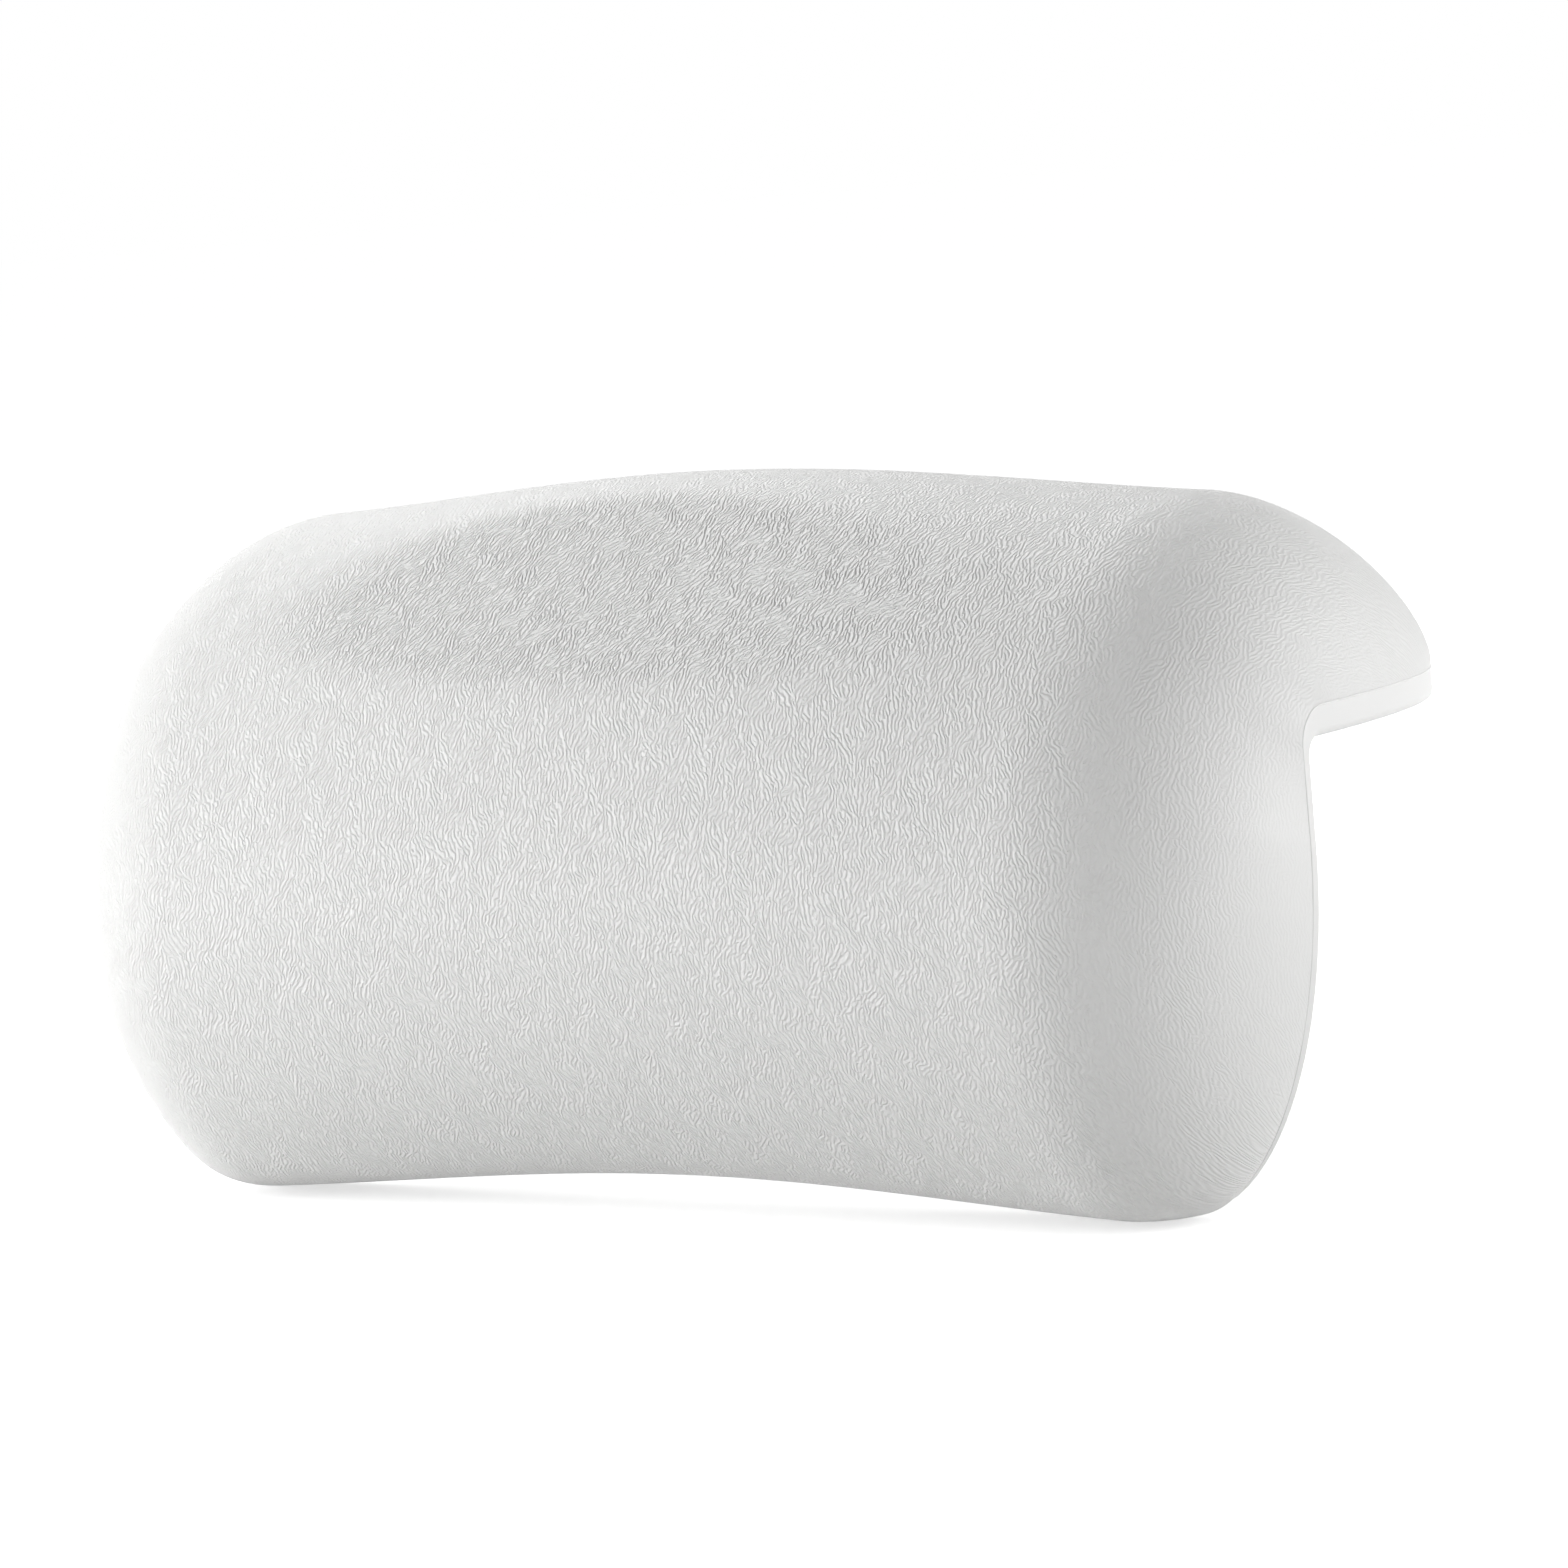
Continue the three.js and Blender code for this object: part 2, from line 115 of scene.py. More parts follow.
def colour(name, description, code):
    return bpy.props.FloatVectorProperty(
        name=name, description=description, default=linear(code), size=3, min=0, max=1, subtype="COLOR"
    )


class PillowSizes(bpy.types.PropertyGroup):
    """The padded form and the panel behind it"""

    width: length("Width", "From end to end", PANEL_HIGH.x - PANEL_LOW.x)
    body_drop: length("Body drop", "From the hook's underside to the foot", 0.100)
    hook_reach: length("Hook reach", "From the wall face to the hook's tip", PANEL_HIGH.y - WALL_Y)
    foot_depth: length("Foot depth", "How far the heel stands in front of the wall face", 0.038)
    foot_rise: length("Foot rise", "Height of the heel above the foot", 0.0138)
    foot_slope: angle("Foot slope", "Slope of the face at the heel", 51.1)
    belly_depth: length("Belly depth", "Depth where the front stands out most", 0.0545)
    belly_drop: length("Belly drop", "How far the belly lies below the hook", 0.0384)
    crest_reach: length("Crest reach", "How far the crest lies behind the wall face", 0.0249)
    crest_height: length("Crest height", "Height of the crest above the hook's underside", 0.0481)
    widest_drop: length("Widest place", "How far the widest place lies below the hook", 0.0209)
    lower_narrowing: length("Lower narrowing", "How much each end draws in at the foot", 0.0389)
    lower_power: number("Lower corner", "Power of the outline's lower corners", 1.98)
    tip_narrowing: length("Tip narrowing", "How much each end draws in at the hook's tip", 0.0228)
    tip_power: number("Tip corner", "Power of the outline's corners at the tip", 2.01)
    foot_end: length("Foot end", "How far in the rounded ends start at the foot", 0.0412)
    belly_end: length("Belly end", "How far in the rounded ends start at the belly", 0.0549)
    chest_end: length("Chest end", "How far in the rounded ends start below the crest", 0.0425)
    tip_end: length("Tip end", "How far in the rounded ends start at the hook's tip", 0.0344)
    least_end: length("Least end", "The least width of a rounded end", 0.010)
    front_turn: number("Front turn", "How far the ends keep on straight from the front", 0.49)
    side_turn: number("Side turn", "How far the ends keep on straight from the parting line", 0.63)
    crown_lean: number("Crown lean", "How far the ends lean in under the crest", 0.17)
    top_arch: length("Top arch", "Rise of the crest in the middle of the width", 0.0163)
    lower_arch: length("Lower arch", "Rise of the foot in the middle of the width", 0.0072)
    front_hollow: length("Front hollow", "How much the front is hollowed in the middle", 0.0024)
    scoop_tilt: angle("Scoop tilt", "Slope of the head scoop", 45.1)
    scoop_offset: length("Scoop offset", "From the hook's inner corner to the scoop", 0.0405)
    scoop_softness: length("Scoop softness", "Easing at the scoop's edge", 0.0016)
    corner_round: length("Hook bend", "Radius of the panel's bend into the hook", 0.008)
    inner_fillet: length("Inner fillet", "Radius of the hook's inner corner", 0.004)
    rear_round: length("Rear edge", "Rounding of the panel's rear edge", 0.002)
    hook_thick: length("Hook panel", "Thickness of the panel under the hook", PANEL_HIGH.z)
    back_thick: length("Back panel", "Thickness of the panel at the wall", WALL_Y - PANEL_LOW.y)
    skin_wall: length("Skin wall", "Thickness of the grained skin", 0.002)
    fit_gap: length("Fit gap", "Gap between neighbouring pieces", 0.0003)


class FittingSizes(bpy.types.PropertyGroup):
    """The stiffener's slot, the housings, the suction cups and the seam"""

    plate_thick: length("Plate", "Thickness of the stiffener", 0.003)
    plate_bend: length("Plate bend", "Radius inside the stiffener's bend", 0.008)
    housing_radius: length("Housing radius", "Outer radius", (HOUSING_HIGH.x - HOUSING_LOW.x) / 2)
    housing_wall: length("Housing wall", "Thickness of the pan's wall", 0.0016)
    housing_floor: length("Housing floor", "Thickness of the pan's floor", 0.002)
    pan_depth: length("Pan depth", "From the tub's side to the back of the pan", 0.012)
    pocket_depth: length("Pocket depth", "Depth of the stud's pocket", 0.004)
    pocket_radius: length("Pocket radius", "Radius of the stud's pocket", 0.0052)
    edge_round: length("Edge rounding", "Rounding of the moulded edges", 0.0006)
    mouth_round: length("Mouth rounding", "Rounding of the panel round each housing", 0.0012)
    cup_radius: length("Cup radius", "Outer radius of the lip", (CUP_HIGH.x - CUP_LOW.x) / 2)
    cup_proud: length("Cup proud", "How far the lip stands out of the panel", CUP_HIGH.y - WALL_Y)
    lip_thick: length("Lip", "Thickness of the cup's lip", 0.0012)
    lip_flat: length("Lip face", "Width of the lip's flat face", 0.002)
    dome_thick: length("Dome", "Thickness of the dome in the middle", 0.003)
    dome_radius: length("Dome root", "Radius where the dome meets its shoulder", 0.009)
    neck_radius: length("Neck radius", "Radius of the stud's neck", 0.003)
    head_radius: length("Head radius", "Radius of the stud's head", 0.0044)
    tab_length: length("Tab length", "How far the pull tab reaches past the lip", 0.008)
    tab_width: length("Tab width", "Width of the pull tab", 0.009)
    tab_thick: length("Tab", "Thickness of the pull tab", 0.0014)
    tab_lap: length("Tab lap", "How far the tab runs in over the lip", 0.002)
    rib_count: count("Grip ribs", "Ribs on each pull tab", 3)
    rib_spacing: length("Rib spacing", "From rib to rib", 0.0018)
    rib_radius: length("Rib radius", "Radius of a grip rib", 0.00035)
    seam_radius: length("Seam bead", "Radius of the flash along the parting line", 0.0003)
    seam_waviness: length("Seam waviness", "How far the flash wanders", 0.0002)
    seam_wave: length("Seam wave", "Length of the flash's waves", 0.012)


class Finishes(bpy.types.PropertyGroup):
    """Colours, and the size of the grain"""

    skin: colour("Skin", "Colour of the moulded skin", "EBEBEA")
    foam: colour("Foam", "Colour of the foam core", "F0E8CF")
    plate: colour("Stiffener", "Colour of the stiffener", "C9CBCC")
    housing: colour("Housing", "Colour of the housings", "EDEDEB")
    cup: colour("Cup", "Tint of the clear suction cups", "E9F1F2")
    floor: colour("Floor", "Colour of the floor", "F4F4F4")
    grain_pitch: length("Grain pitch", "From ridge to ridge of the grain", 0.00105)
    grain_height: length("Grain height", "Height of the grain's ridges", 0.00027)
    grain_shift: length("Grain shift", "How far the grain is pushed out of line", 0.0009)
    foam_cell: length("Foam cell", "From cell to cell of the foam", 0.0008)


class StageSettings(bpy.types.PropertyGroup):
    """The camera and the level of the light"""

    azimuth: angle("Azimuth", "How far round to the right the camera stands", 37.9)
    tilt: angle("Tilt", "How far the pillow tips towards the camera", 8.0)
    distance: length("Distance", "From the hook's inner corner to the camera", 1.7)
    lens: number("Lens", "Focal length in millimetres on a 36 mm sensor", 180.5)
    aim_right: length("Aim right", "Sideways place of the picture's middle", 0.0188, -1.0)
    aim_up: length("Aim up", "Height of the picture's middle", -0.0091, -1.0)
    light_level: number("Light level", "Power of all the lamps together", 1)
    world_level: number("World level", "Strength of the light from all round", 0)


def settings_of(context):
    """The padding's sizes, the fittings' sizes and the finishes."""
    settings = context.scene.bath_pillow
    return settings.sizes, settings.fittings, settings.finishes


# Node trees


def add(tree, kind, inputs=None, **settings):
    """Adds a node with its settings. An input is a value, a socket, or a node's first output."""
    node = tree.nodes.new(kind)
    for name, value in settings.items():
        setattr(node, name, value)
    for key, value in (inputs or {}).items():
        if isinstance(value, bpy.types.Node):
            value = value.outputs[0]
        if isinstance(value, bpy.types.NodeSocket):
            tree.links.new(value, node.inputs[key])
        else:
            node.inputs[key].default_value = value
    return node


def new_material(name):
    material = bpy.data.materials.new(name)
    material.use_nodes = True
    material.node_tree.nodes.clear()
    return material, material.node_tree


def finish_plastic(tree, inputs):
    """Ends a plastic's material in one surface shader with the given inputs."""
    shader = add(tree, "ShaderNodeBsdfPrincipled", inputs)
    add(tree, "ShaderNodeOutputMaterial", {"Surface": shader})


def shown_share(tree):
    """1 for rays from the camera, off gloss and through clear parts, which see a white studio."""
    path = add(tree, "ShaderNodeLightPath")
    kinds = ("Is Camera Ray", "Is Transmission Ray", "Is Glossy Ray")
    seen = path.outputs[kinds[0]]
    for kind in kinds[1:]:
        seen = add(tree, "ShaderNodeMath", {0: seen, 1: path.outputs[kind]}, operation="MAXIMUM").outputs[0]
    return seen


def rgba(colour_value, level=1):
    return (*(level * part for part in colour_value), 1)


# In the materials, inputs 1 to 4 of a map range are the range that it reads and the one it gives.


def grained_skin_material(finishes):
    """Integral-skin polyurethane, moulded against an etched tool: soft satin with a leather grain.

    Fine ridges a millimetre apart run mostly up the front and slant over the scoop. They are drawn
    a little wider than the real ones, which would be too fine to show in the render. Their tops are
    a little more polished than the valleys between them.
    """
    material, tree = new_material("grained_polyurethane_skin")
    flow = add(tree, "ShaderNodeAttribute", attribute_name="grain_turn")
    depth = add(tree, "ShaderNodeAttribute", attribute_name="grain_depth")
    place = add(tree, "ShaderNodeUVMap", uv_map="surface")
    per_metre = 1 / finishes.grain_pitch
    drift, warp, pores, cloud = (
        add(tree, "ShaderNodeTexNoise", {"Vector": place, "Scale": waves, "Detail": detail})
        for waves, detail in (
            (0.16 * per_metre, 1.0),
            (0.5 * per_metre, 1.0),
            (2.2 * per_metre, 2.0),
            (30.0, 2.0),
        )
    )
    wander = add(tree, "ShaderNodeMapRange", {0: drift, 1: 0.3, 2: 0.7, 3: -0.7, 4: 0.7})
    turn = add(tree, "ShaderNodeMath", {0: flow.outputs["Fac"], 1: wander}, operation="ADD")
    shift = {0: warp.outputs["Color"], "Scale": finishes.grain_shift}
    shifted = add(tree, "ShaderNodeVectorMath", shift, operation="SCALE")
    warped = add(tree, "ShaderNodeVectorMath", {0: place, 1: shifted}, operation="ADD")
    # Input 4 is the way that the ridges run. The cosine of their phase evens out their height.
    waves = {"Vector": warped, "Scale": 0.75 * per_metre, "Frequency": 1.35, "Anisotropy": 0.75, 4: turn}
    ridges = add(tree, "ShaderNodeTexGabor", waves)
    phase = {0: ridges.outputs["Phase"], 1: math.tau}
    round_turn = add(tree, "ShaderNodeMath", phase, operation="MULTIPLY")
    even = add(tree, "ShaderNodeMath", {0: round_turn}, operation="COSINE")
    height = ridges.outputs["Value"]
    for part, weight in ((even, -0.3), (pores, 0.25)):
        height = add(tree, "ShaderNodeMath", {0: part, 1: weight, 2: height}, operation="MULTIPLY_ADD")
    middle_height = 0.625
    level = add(tree, "ShaderNodeMath", {0: height, 1: middle_height}, operation="SUBTRACT")
    faded = add(tree, "ShaderNodeMath", {0: level, 1: depth.outputs["Fac"]}, operation="MULTIPLY")
    relief = {"Strength": 1.0, "Distance": finishes.grain_height, "Height": faded}
    bump = add(tree, "ShaderNodeBump", relief)
    polish = add(tree, "ShaderNodeMapRange", {0: ridges.outputs["Value"], 3: 0.52, 4: 0.4})
    tints = {"Factor": cloud, 6: rgba(finishes.skin), 7: rgba(finishes.skin, 0.985)}
    tint = add(tree, "ShaderNodeMix", tints, data_type="RGBA")
    finish_plastic(tree, {"Base Color": tint.outputs[2], "Roughness": polish, "IOR": 1.5, "Normal": bump})
    return material


def foam_material(finishes):
    """Flexible polyurethane foam, cut and moulded: matt cream with open cells under a millimetre wide, the
    hollow of each cell painted darker as shade.
    """
    material, tree = new_material("open_cell_polyurethane_foam")
    place = add(tree, "ShaderNodeTexCoord")
    cells_per_metre = 1 / finishes.foam_cell
    cells = add(tree, "ShaderNodeTexVoronoi", {"Vector": place.outputs["Object"], "Scale": cells_per_metre})
    hollow = add(tree, "ShaderNodeMapRange", {0: cells, 1: 0.1, 2: 0.6, 3: 0.0, 4: 1.0})
    # Painted shade: each cell's hollow gets a colour about a quarter darker, though the foam is one cream
    # colour throughout.
    tints = {"Factor": hollow, 6: rgba(finishes.foam, 0.72), 7: rgba(finishes.foam)}
    tint = add(tree, "ShaderNodeMix", tints, data_type="RGBA")
    depth = finishes.foam_cell / 2
    bump = add(tree, "ShaderNodeBump", {"Strength": 0.8, "Distance": depth, "Height": hollow})
    finish_plastic(tree, {"Base Color": tint.outputs[2], "Roughness": 0.95, "IOR": 1.45, "Normal": bump})
    return material


def moulded_material(name, tint, waves, detail, strength, height, sheen, **more):
    """A plastic as its tool leaves it: one colour and a faint ripple or stipple, with so many waves
    a metre and a sheen between two roughnesses that follows it."""
    material, tree = new_material(name)
    place = add(tree, "ShaderNodeTexCoord").outputs["Object"]
    ripple = add(tree, "ShaderNodeTexNoise", {"Vector": place, "Scale": waves, "Detail": detail})
    bump = add(tree, "ShaderNodeBump", {"Strength": strength, "Distance": height, "Height": ripple})
    rough = add(tree, "ShaderNodeMapRange", {0: ripple, 3: sheen[0], 4: sheen[1]})
    finish_plastic(tree, {"Base Color": rgba(tint), "Roughness": rough, "IOR": 1.5, "Normal": bump, **more})
    return material


def smooth_skin_material(finishes):
    """The same polyurethane against a polished tool: smoother and a little glossier, barely uneven."""
    ripple = {"waves": 160.0, "detail": 2.0, "strength": 0.4, "height": 0.0001, "sheen": (0.34, 0.44)}
    return moulded_material("smooth_polyurethane_skin", finishes.skin, **ripple)


def polypropylene_material(finishes):
    """Injection-moulded polypropylene: waxy and pale, with a fine tool stipple."""
    stipple = {"waves": 900.0, "detail": 3.0, "strength": 0.6, "height": 0.00008, "sheen": (0.425, 0.575)}
    return moulded_material("moulded_polypropylene", finishes.plate, **stipple)


def abs_material(finishes):
    """Injection-moulded ABS: opaque, fairly glossy, with a faint unevenness from the tool."""
    stipple = {"waves": 500.0, "detail": 3.0, "strength": 0.6, "height": 0.00004, "sheen": (0.238, 0.322)}
    return moulded_material("moulded_abs", finishes.housing, **stipple)


def vinyl_material(finishes):
    """Plasticised PVC, clear and soft: light bends through it and its lips catch bright edges."""
    ripple = {"waves": 220.0, "detail": 1.0, "strength": 0.3, "height": 0.0001, "sheen": (0.08, 0.16)}
    clear = {"IOR": 1.53, "Transmission Weight": 0.85}
    return moulded_material("clear_plasticised_pvc", finishes.cup, **ripple, **clear)


# Meshes

# Edges that bend by more than this stay crisp, and gentler ones are shaded smooth.
CRISP_ANGLE = math.radians(38)


def soften(mesh):
    mesh.shade_smooth()
    mesh.set_sharp_from_angle(angle=CRISP_ANGLE)


def placed(name, data):
    """A new object with the given data, in the scene."""
    thing = bpy.data.objects.new(name, data)
    bpy.context.scene.collection.objects.link(thing)
    return thing


def plain_mesh(name, points, edges=(), faces=()):
    mesh = bpy.data.meshes.new(name)
    mesh.from_pydata(points, edges, faces)
    return mesh


def mesh_object(name, points, faces, material):
    """A smooth-shaded piece from its points and faces, with its material."""
    corners = np.asarray(points).reshape(-1, 3).tolist()
    mesh = plain_mesh(name, corners, faces=[list(face) for face in faces])
    mesh.materials.append(material)
    soften(mesh)
    return placed(name, mesh)


def faced_outward(piece):
    """Turns every face of a closed piece outward."""
    shell = bmesh.new()
    shell.from_mesh(piece.data)
    bmesh.ops.recalc_face_normals(shell, faces=shell.faces)
    shell.to_mesh(piece.data)
    shell.free()
    return piece


def sheet_faces(rows, columns):
    """The faces of a sheet of points, as corners of one quad a row."""
    corner = np.arange(rows * columns).reshape(rows, columns)
    quads = [corner[:-1, :-1], corner[:-1, 1:], corner[1:, 1:], corner[1:, :-1]]
    return np.stack(quads, axis=-1).reshape(-1, 4)


def ring_faces(rings, steps):
    """The faces between rings of points that follow one another, with as many steps each."""
    around = np.arange(steps)
    ahead = np.roll(around, -1)
    faces = []
    for low in range(0, (rings - 1) * steps, steps):
        high = low + steps
        faces += zip(low + around, low + ahead, high + ahead, high + around)
    return faces


def stacked(name, rings, material):
    """A closed piece through rings of points, with a flat face over each end."""
    count, steps = len(rings), len(rings[0])
    end = np.arange(steps)
    faces = [end[::-1], end + (count - 1) * steps, *ring_faces(count, steps)]
    return faced_outward(mesh_object(name, rings, faces, material))


def body_between(outer, inner):
    """The points and faces of a closed body between two sheets with the same steps."""
    rows, columns = outer.shape[:2]
    corner = np.arange(rows * columns).reshape(rows, columns)
    edge = np.concatenate([corner[0, :-1], corner[:-1, -1], corner[-1, :0:-1], corner[:0:-1, 0]])
    ahead = np.roll(edge, -1)
    sheet = sheet_faces(rows, columns)
    past = rows * columns
    rim = np.stack([ahead, edge, edge + past, ahead + past], axis=-1)
    return (
        np.concatenate([outer.reshape(-1, 3), inner.reshape(-1, 3)]),
        np.concatenate([sheet, sheet[:, ::-1] + past, rim]),
    )


def converted(piece):
    """Applies a piece's modifiers, so that a plain mesh is left."""
    graph = bpy.context.evaluated_depsgraph_get()
    mesh = bpy.data.meshes.new_from_object(piece.evaluated_get(graph), depsgraph=graph)
    piece.modifiers.clear()
    old, piece.data = piece.data, mesh
    mesh.name = piece.name
    bpy.data.meshes.remove(old)
    soften(mesh)
    return piece


def carve(piece, cutters):
    """Cuts each cutter out of a piece, and removes the cutters."""
    for cutter in cutters:
        cut = piece.modifiers.new("cut", "BOOLEAN")
        cut.operation = "DIFFERENCE"
        cut.solver = "EXACT"
        cut.object = cutter
    converted(piece)
    for cutter in cutters:
        bpy.data.objects.remove(cutter)
    return piece


def grow(piece, tree, values):
    """Runs a geometry tree on a piece with its named inputs set, and leaves a plain mesh."""
    modifier = piece.modifiers.new(tree.name, "NODES")
    modifier.node_group = tree
    sockets = {
        item.name: item.identifier
        for item in tree.interface.items_tree
        if item.item_type == "SOCKET" and item.in_out == "INPUT"
    }
    for name, value in values.items():
        modifier[sockets[name]] = value
    return converted(piece)


def new_tree(name, inputs):
    """A geometry tree with a geometry input and output, and the named inputs between them."""
    tree = bpy.data.node_groups.new(name, "GeometryNodeTree")
    tree.is_modifier = True
    tree.interface.new_socket("Geometry", in_out="INPUT", socket_type="NodeSocketGeometry")
    tree.interface.new_socket("Geometry", in_out="OUTPUT", socket_type="NodeSocketGeometry")
    for label, kind in inputs.items():
        tree.interface.new_socket(label, in_out="INPUT", socket_type="NodeSocket" + kind)
    return tree, tree.nodes.new("NodeGroupInput").outputs


def close_tree(tree, geometry, material):
    real = add(tree, "GeometryNodeRealizeInstances", {"Geometry": geometry})
    finished = add(tree, "GeometryNodeSetMaterial", {"Geometry": real, "Material": material})
    add(tree, "NodeGroupOutput", {"Geometry": finished})


def to_frame(piece):
    """Moves a piece's mesh from the hook's inner corner to its place in the frame."""
    piece.data.transform(Matrix.Translation(CORNER))
    return piece


# The padded form

# How far the handles of the profile's curves reach, as shares of the stretches that they shape
SOLE_SHARE, HEEL_SHARE, SHIN_SHARE, CALF_SHARE = 0.55, 0.38, 0.27, 0.42
BELLY_SHARE, CREST_SHARE, HOOK_SHARE, TIP_SHARE = 0.325, 0.67, 0.29, 0.6
# How far the parting line's rows run ahead of the profile's, times the shares behind and before
PARTING_LEAD_SHARE = 0.1035
# How the rows lie from foot to tip: evenly, and closer together towards both ends
EVEN_SHARE, EASED_SHARE = 0.7, 0.3

# Steps of the lines that the padding is sampled from
BEND_STEPS, CURVE_STEPS = 119, 160
# Steps of each padded mesh, along the flat, round either end and from the foot to the hook's tip
SKIN_STEPS, FOAM_STEPS = (150, 48, 180), (90, 26, 100)


def at_shares(points, shares):
    """The places at the given shares of a line's length."""
    steps = np.linalg.norm(np.diff(points, axis=0), axis=1)
    reached = np.concatenate([[0], np.cumsum(steps)]) / steps.sum()
    return np.stack([np.interp(shares, reached, column) for column in points.T], axis=-1)


def elbow_line(sizes, front, top, bend, inset=0.0):
    """A line in side view: up the front, round the bend and back along the top."""
    turn = np.linspace(0, math.pi / 2, BEND_STEPS + 1)
    arc = np.stack([front + bend * (1 - np.cos(turn)), top - bend * (1 - np.sin(turn))], axis=-1)
    return np.concatenate([[[front, inset - sizes.body_drop]], arc, [[sizes.hook_reach - inset, top]]])


def parting_line(sizes, lift, inset=0.0):
    return elbow_line(
        sizes, -sizes.back_thick - lift, sizes.hook_thick + lift, sizes.corner_round + lift, inset
    )


def bezier(t, start, pull, push, end):
    return (1 - t) ** 3 * start + 3 * t * (1 - t) ** 2 * pull + 3 * t**2 * (1 - t) * push + t**3 * end


def padding_profile(sizes, lift):
    """The padding in side view, from the foot over the belly and the crest to the hook's tip."""
    foot = np.array((-sizes.back_thick - lift, -sizes.body_drop))
    heel = np.array((-sizes.foot_depth, sizes.foot_rise - sizes.body_drop))
    belly = np.array((-sizes.belly_depth, -sizes.belly_drop))
    crest = np.array((sizes.crest_reach, sizes.crest_height))
    tip = np.array((sizes.hook_reach, sizes.hook_thick + lift))
    forward, upward = np.array((-1, 0)), np.array((0, 1))
    shin = np.array((-math.cos(sizes.foot_slope), math.sin(sizes.foot_slope)))
    sole, calf = np.linalg.norm(heel - foot), np.linalg.norm(belly - heel)
    climb = belly[1] - heel[1]
    run, rise = crest - belly
    hook_run, hook_fall = tip - crest
    stretches = (
        (foot, foot + SOLE_SHARE * sole * forward, heel - HEEL_SHARE * sole * shin, heel),
        (heel, heel + SHIN_SHARE * calf * shin, belly - CALF_SHARE * climb * upward, belly),
        (belly, belly + BELLY_SHARE * rise * upward, crest + CREST_SHARE * run * forward, crest),
        (crest, crest - HOOK_SHARE * hook_run * forward, tip - TIP_SHARE * hook_fall * upward, tip),
    )
    t = np.linspace(0, 1, CURVE_STEPS + 1)[:-1, None]
    return np.concatenate([*(bezier(t, *stretch) for stretch in stretches), [tip]])


def half_width(sizes, base, inset=0.0):
    """Half the width of the outline at points of the parting surface."""

    def corner(reached, power):
        return 1 - (1 - np.clip(reached, 0, 1) ** power) ** (1 / power)

    low = (-sizes.widest_drop - base[:, 1]) / (sizes.body_drop - inset - sizes.widest_drop)
    back = (base[:, 0] + sizes.back_thick) / (sizes.hook_reach - inset + sizes.back_thick)
    drawn_in = sizes.lower_narrowing * corner(low, sizes.lower_power)
    drawn_in += sizes.tip_narrowing * corner(back, sizes.tip_power)
    return sizes.width / 2 - inset - drawn_in


def bow(sizes, x):
    return np.cos(math.pi * x / sizes.width) ** 2


def rising(sizes, z):
    """0 below the widest place, and 1 from the hook's bend."""
    span = sizes.hook_thick - sizes.corner_round + sizes.widest_drop
    return np.clip((z + sizes.widest_drop) / span, 0, 1)


def across_steps(flat_steps, end_steps):
    """Where each column lies: its place along the flat, from -1 to 1, and how far round an end it
    is, from 0 to 1, or to -1 on the left."""
    end = np.linspace(0, 1, end_steps + 1)[1:]
    middle = np.linspace(-1, 1, flat_steps + 1)
    flat = np.concatenate([np.full(end_steps, -1.0), middle, np.ones(end_steps)])
    return flat, np.concatenate([-end[::-1], np.zeros(flat_steps + 1), end])


def even_shares(steps):
    """Shares from 0 to 1 that lie closer together towards both ends."""
    even = np.linspace(0, 1, steps + 1)
    return EVEN_SHARE * even + EASED_SHARE * (1 - np.cos(math.pi * even)) / 2


def soft_depth(depth, softness):
    eased = (depth + softness) ** 2 / (4 * softness)
    return np.where(depth <= -softness, 0, np.where(depth >= softness, depth, eased))


def press_scoop(sizes, points, inset):
    """Moves what lies in front of the head scoop back onto it."""
    facing = np.array((0, -math.sin(sizes.scoop_tilt), math.cos(sizes.scoop_tilt)))
    depth = soft_depth(points @ facing - sizes.scoop_offset + inset, sizes.scoop_softness)
    return points - depth[..., None] * facing, depth


def padding_sheets(sizes, inset, steps):
    """The padding's outer form drawn in by the inset, the parting surface behind it, and the
    depth that the scoop was pressed by."""
    lift = sizes.fit_gap
    flat, around = across_steps(*steps[:2])
    shares = even_shares(steps[2])
    lead = PARTING_LEAD_SHARE * shares * (1 - shares)
    base = at_shares(parting_line(sizes, lift, inset), shares + lead)
    profile = padding_profile(sizes, lift)
    heading = np.gradient(at_shares(profile, shares), shares, axis=0)
    heading /= np.linalg.norm(heading, axis=1, keepdims=True)
    face = at_shares(profile, shares) + inset * np.stack([heading[:, 1], -heading[:, 0]], axis=-1)
    half = half_width(sizes, base, inset)[:, None]
    ends = (sizes.foot_end, sizes.belly_end, sizes.chest_end, sizes.tip_end)
    fold = sizes.width / 2 - bezier(shares[:, None], *ends)
    fold = np.minimum(fold, half + inset - sizes.least_end)
    (base_y, base_z), (face_y, face_z) = (side.T[..., None] for side in (base, face))
    rise = rising(sizes, base_z)
    reach = np.maximum(0, base_y + sizes.back_thick) / (sizes.hook_reach + sizes.back_thick)
    crown = rise * (1 - reach)
    t = np.abs(around)
    out = bezier(t, 0, sizes.front_turn, 1 - sizes.crown_lean * crown, 1)
    x = flat * fold + np.sign(around) * (half - fold) * out
    full = bezier(t, 1, 1, sizes.side_turn, 0)
    depth = np.clip(-(face_y + sizes.back_thick) / (sizes.belly_depth - sizes.back_thick), 0, 1)
    low_arch = sizes.lower_arch * (1 - rise)
    arch = low_arch + full * sizes.top_arch * crown
    y = base_y + (face_y - base_y) * full + sizes.front_hollow * bow(sizes, x) * full * depth
    z = base_z + (face_z - base_z) * full + arch * bow(sizes, x)
    front, pressed = press_scoop(sizes, np.stack([x, y, z], axis=-1), inset)
    back = np.stack([x, base_y + 0 * x, base_z + low_arch * bow(sizes, x)], axis=-1)
    return front, back, pressed


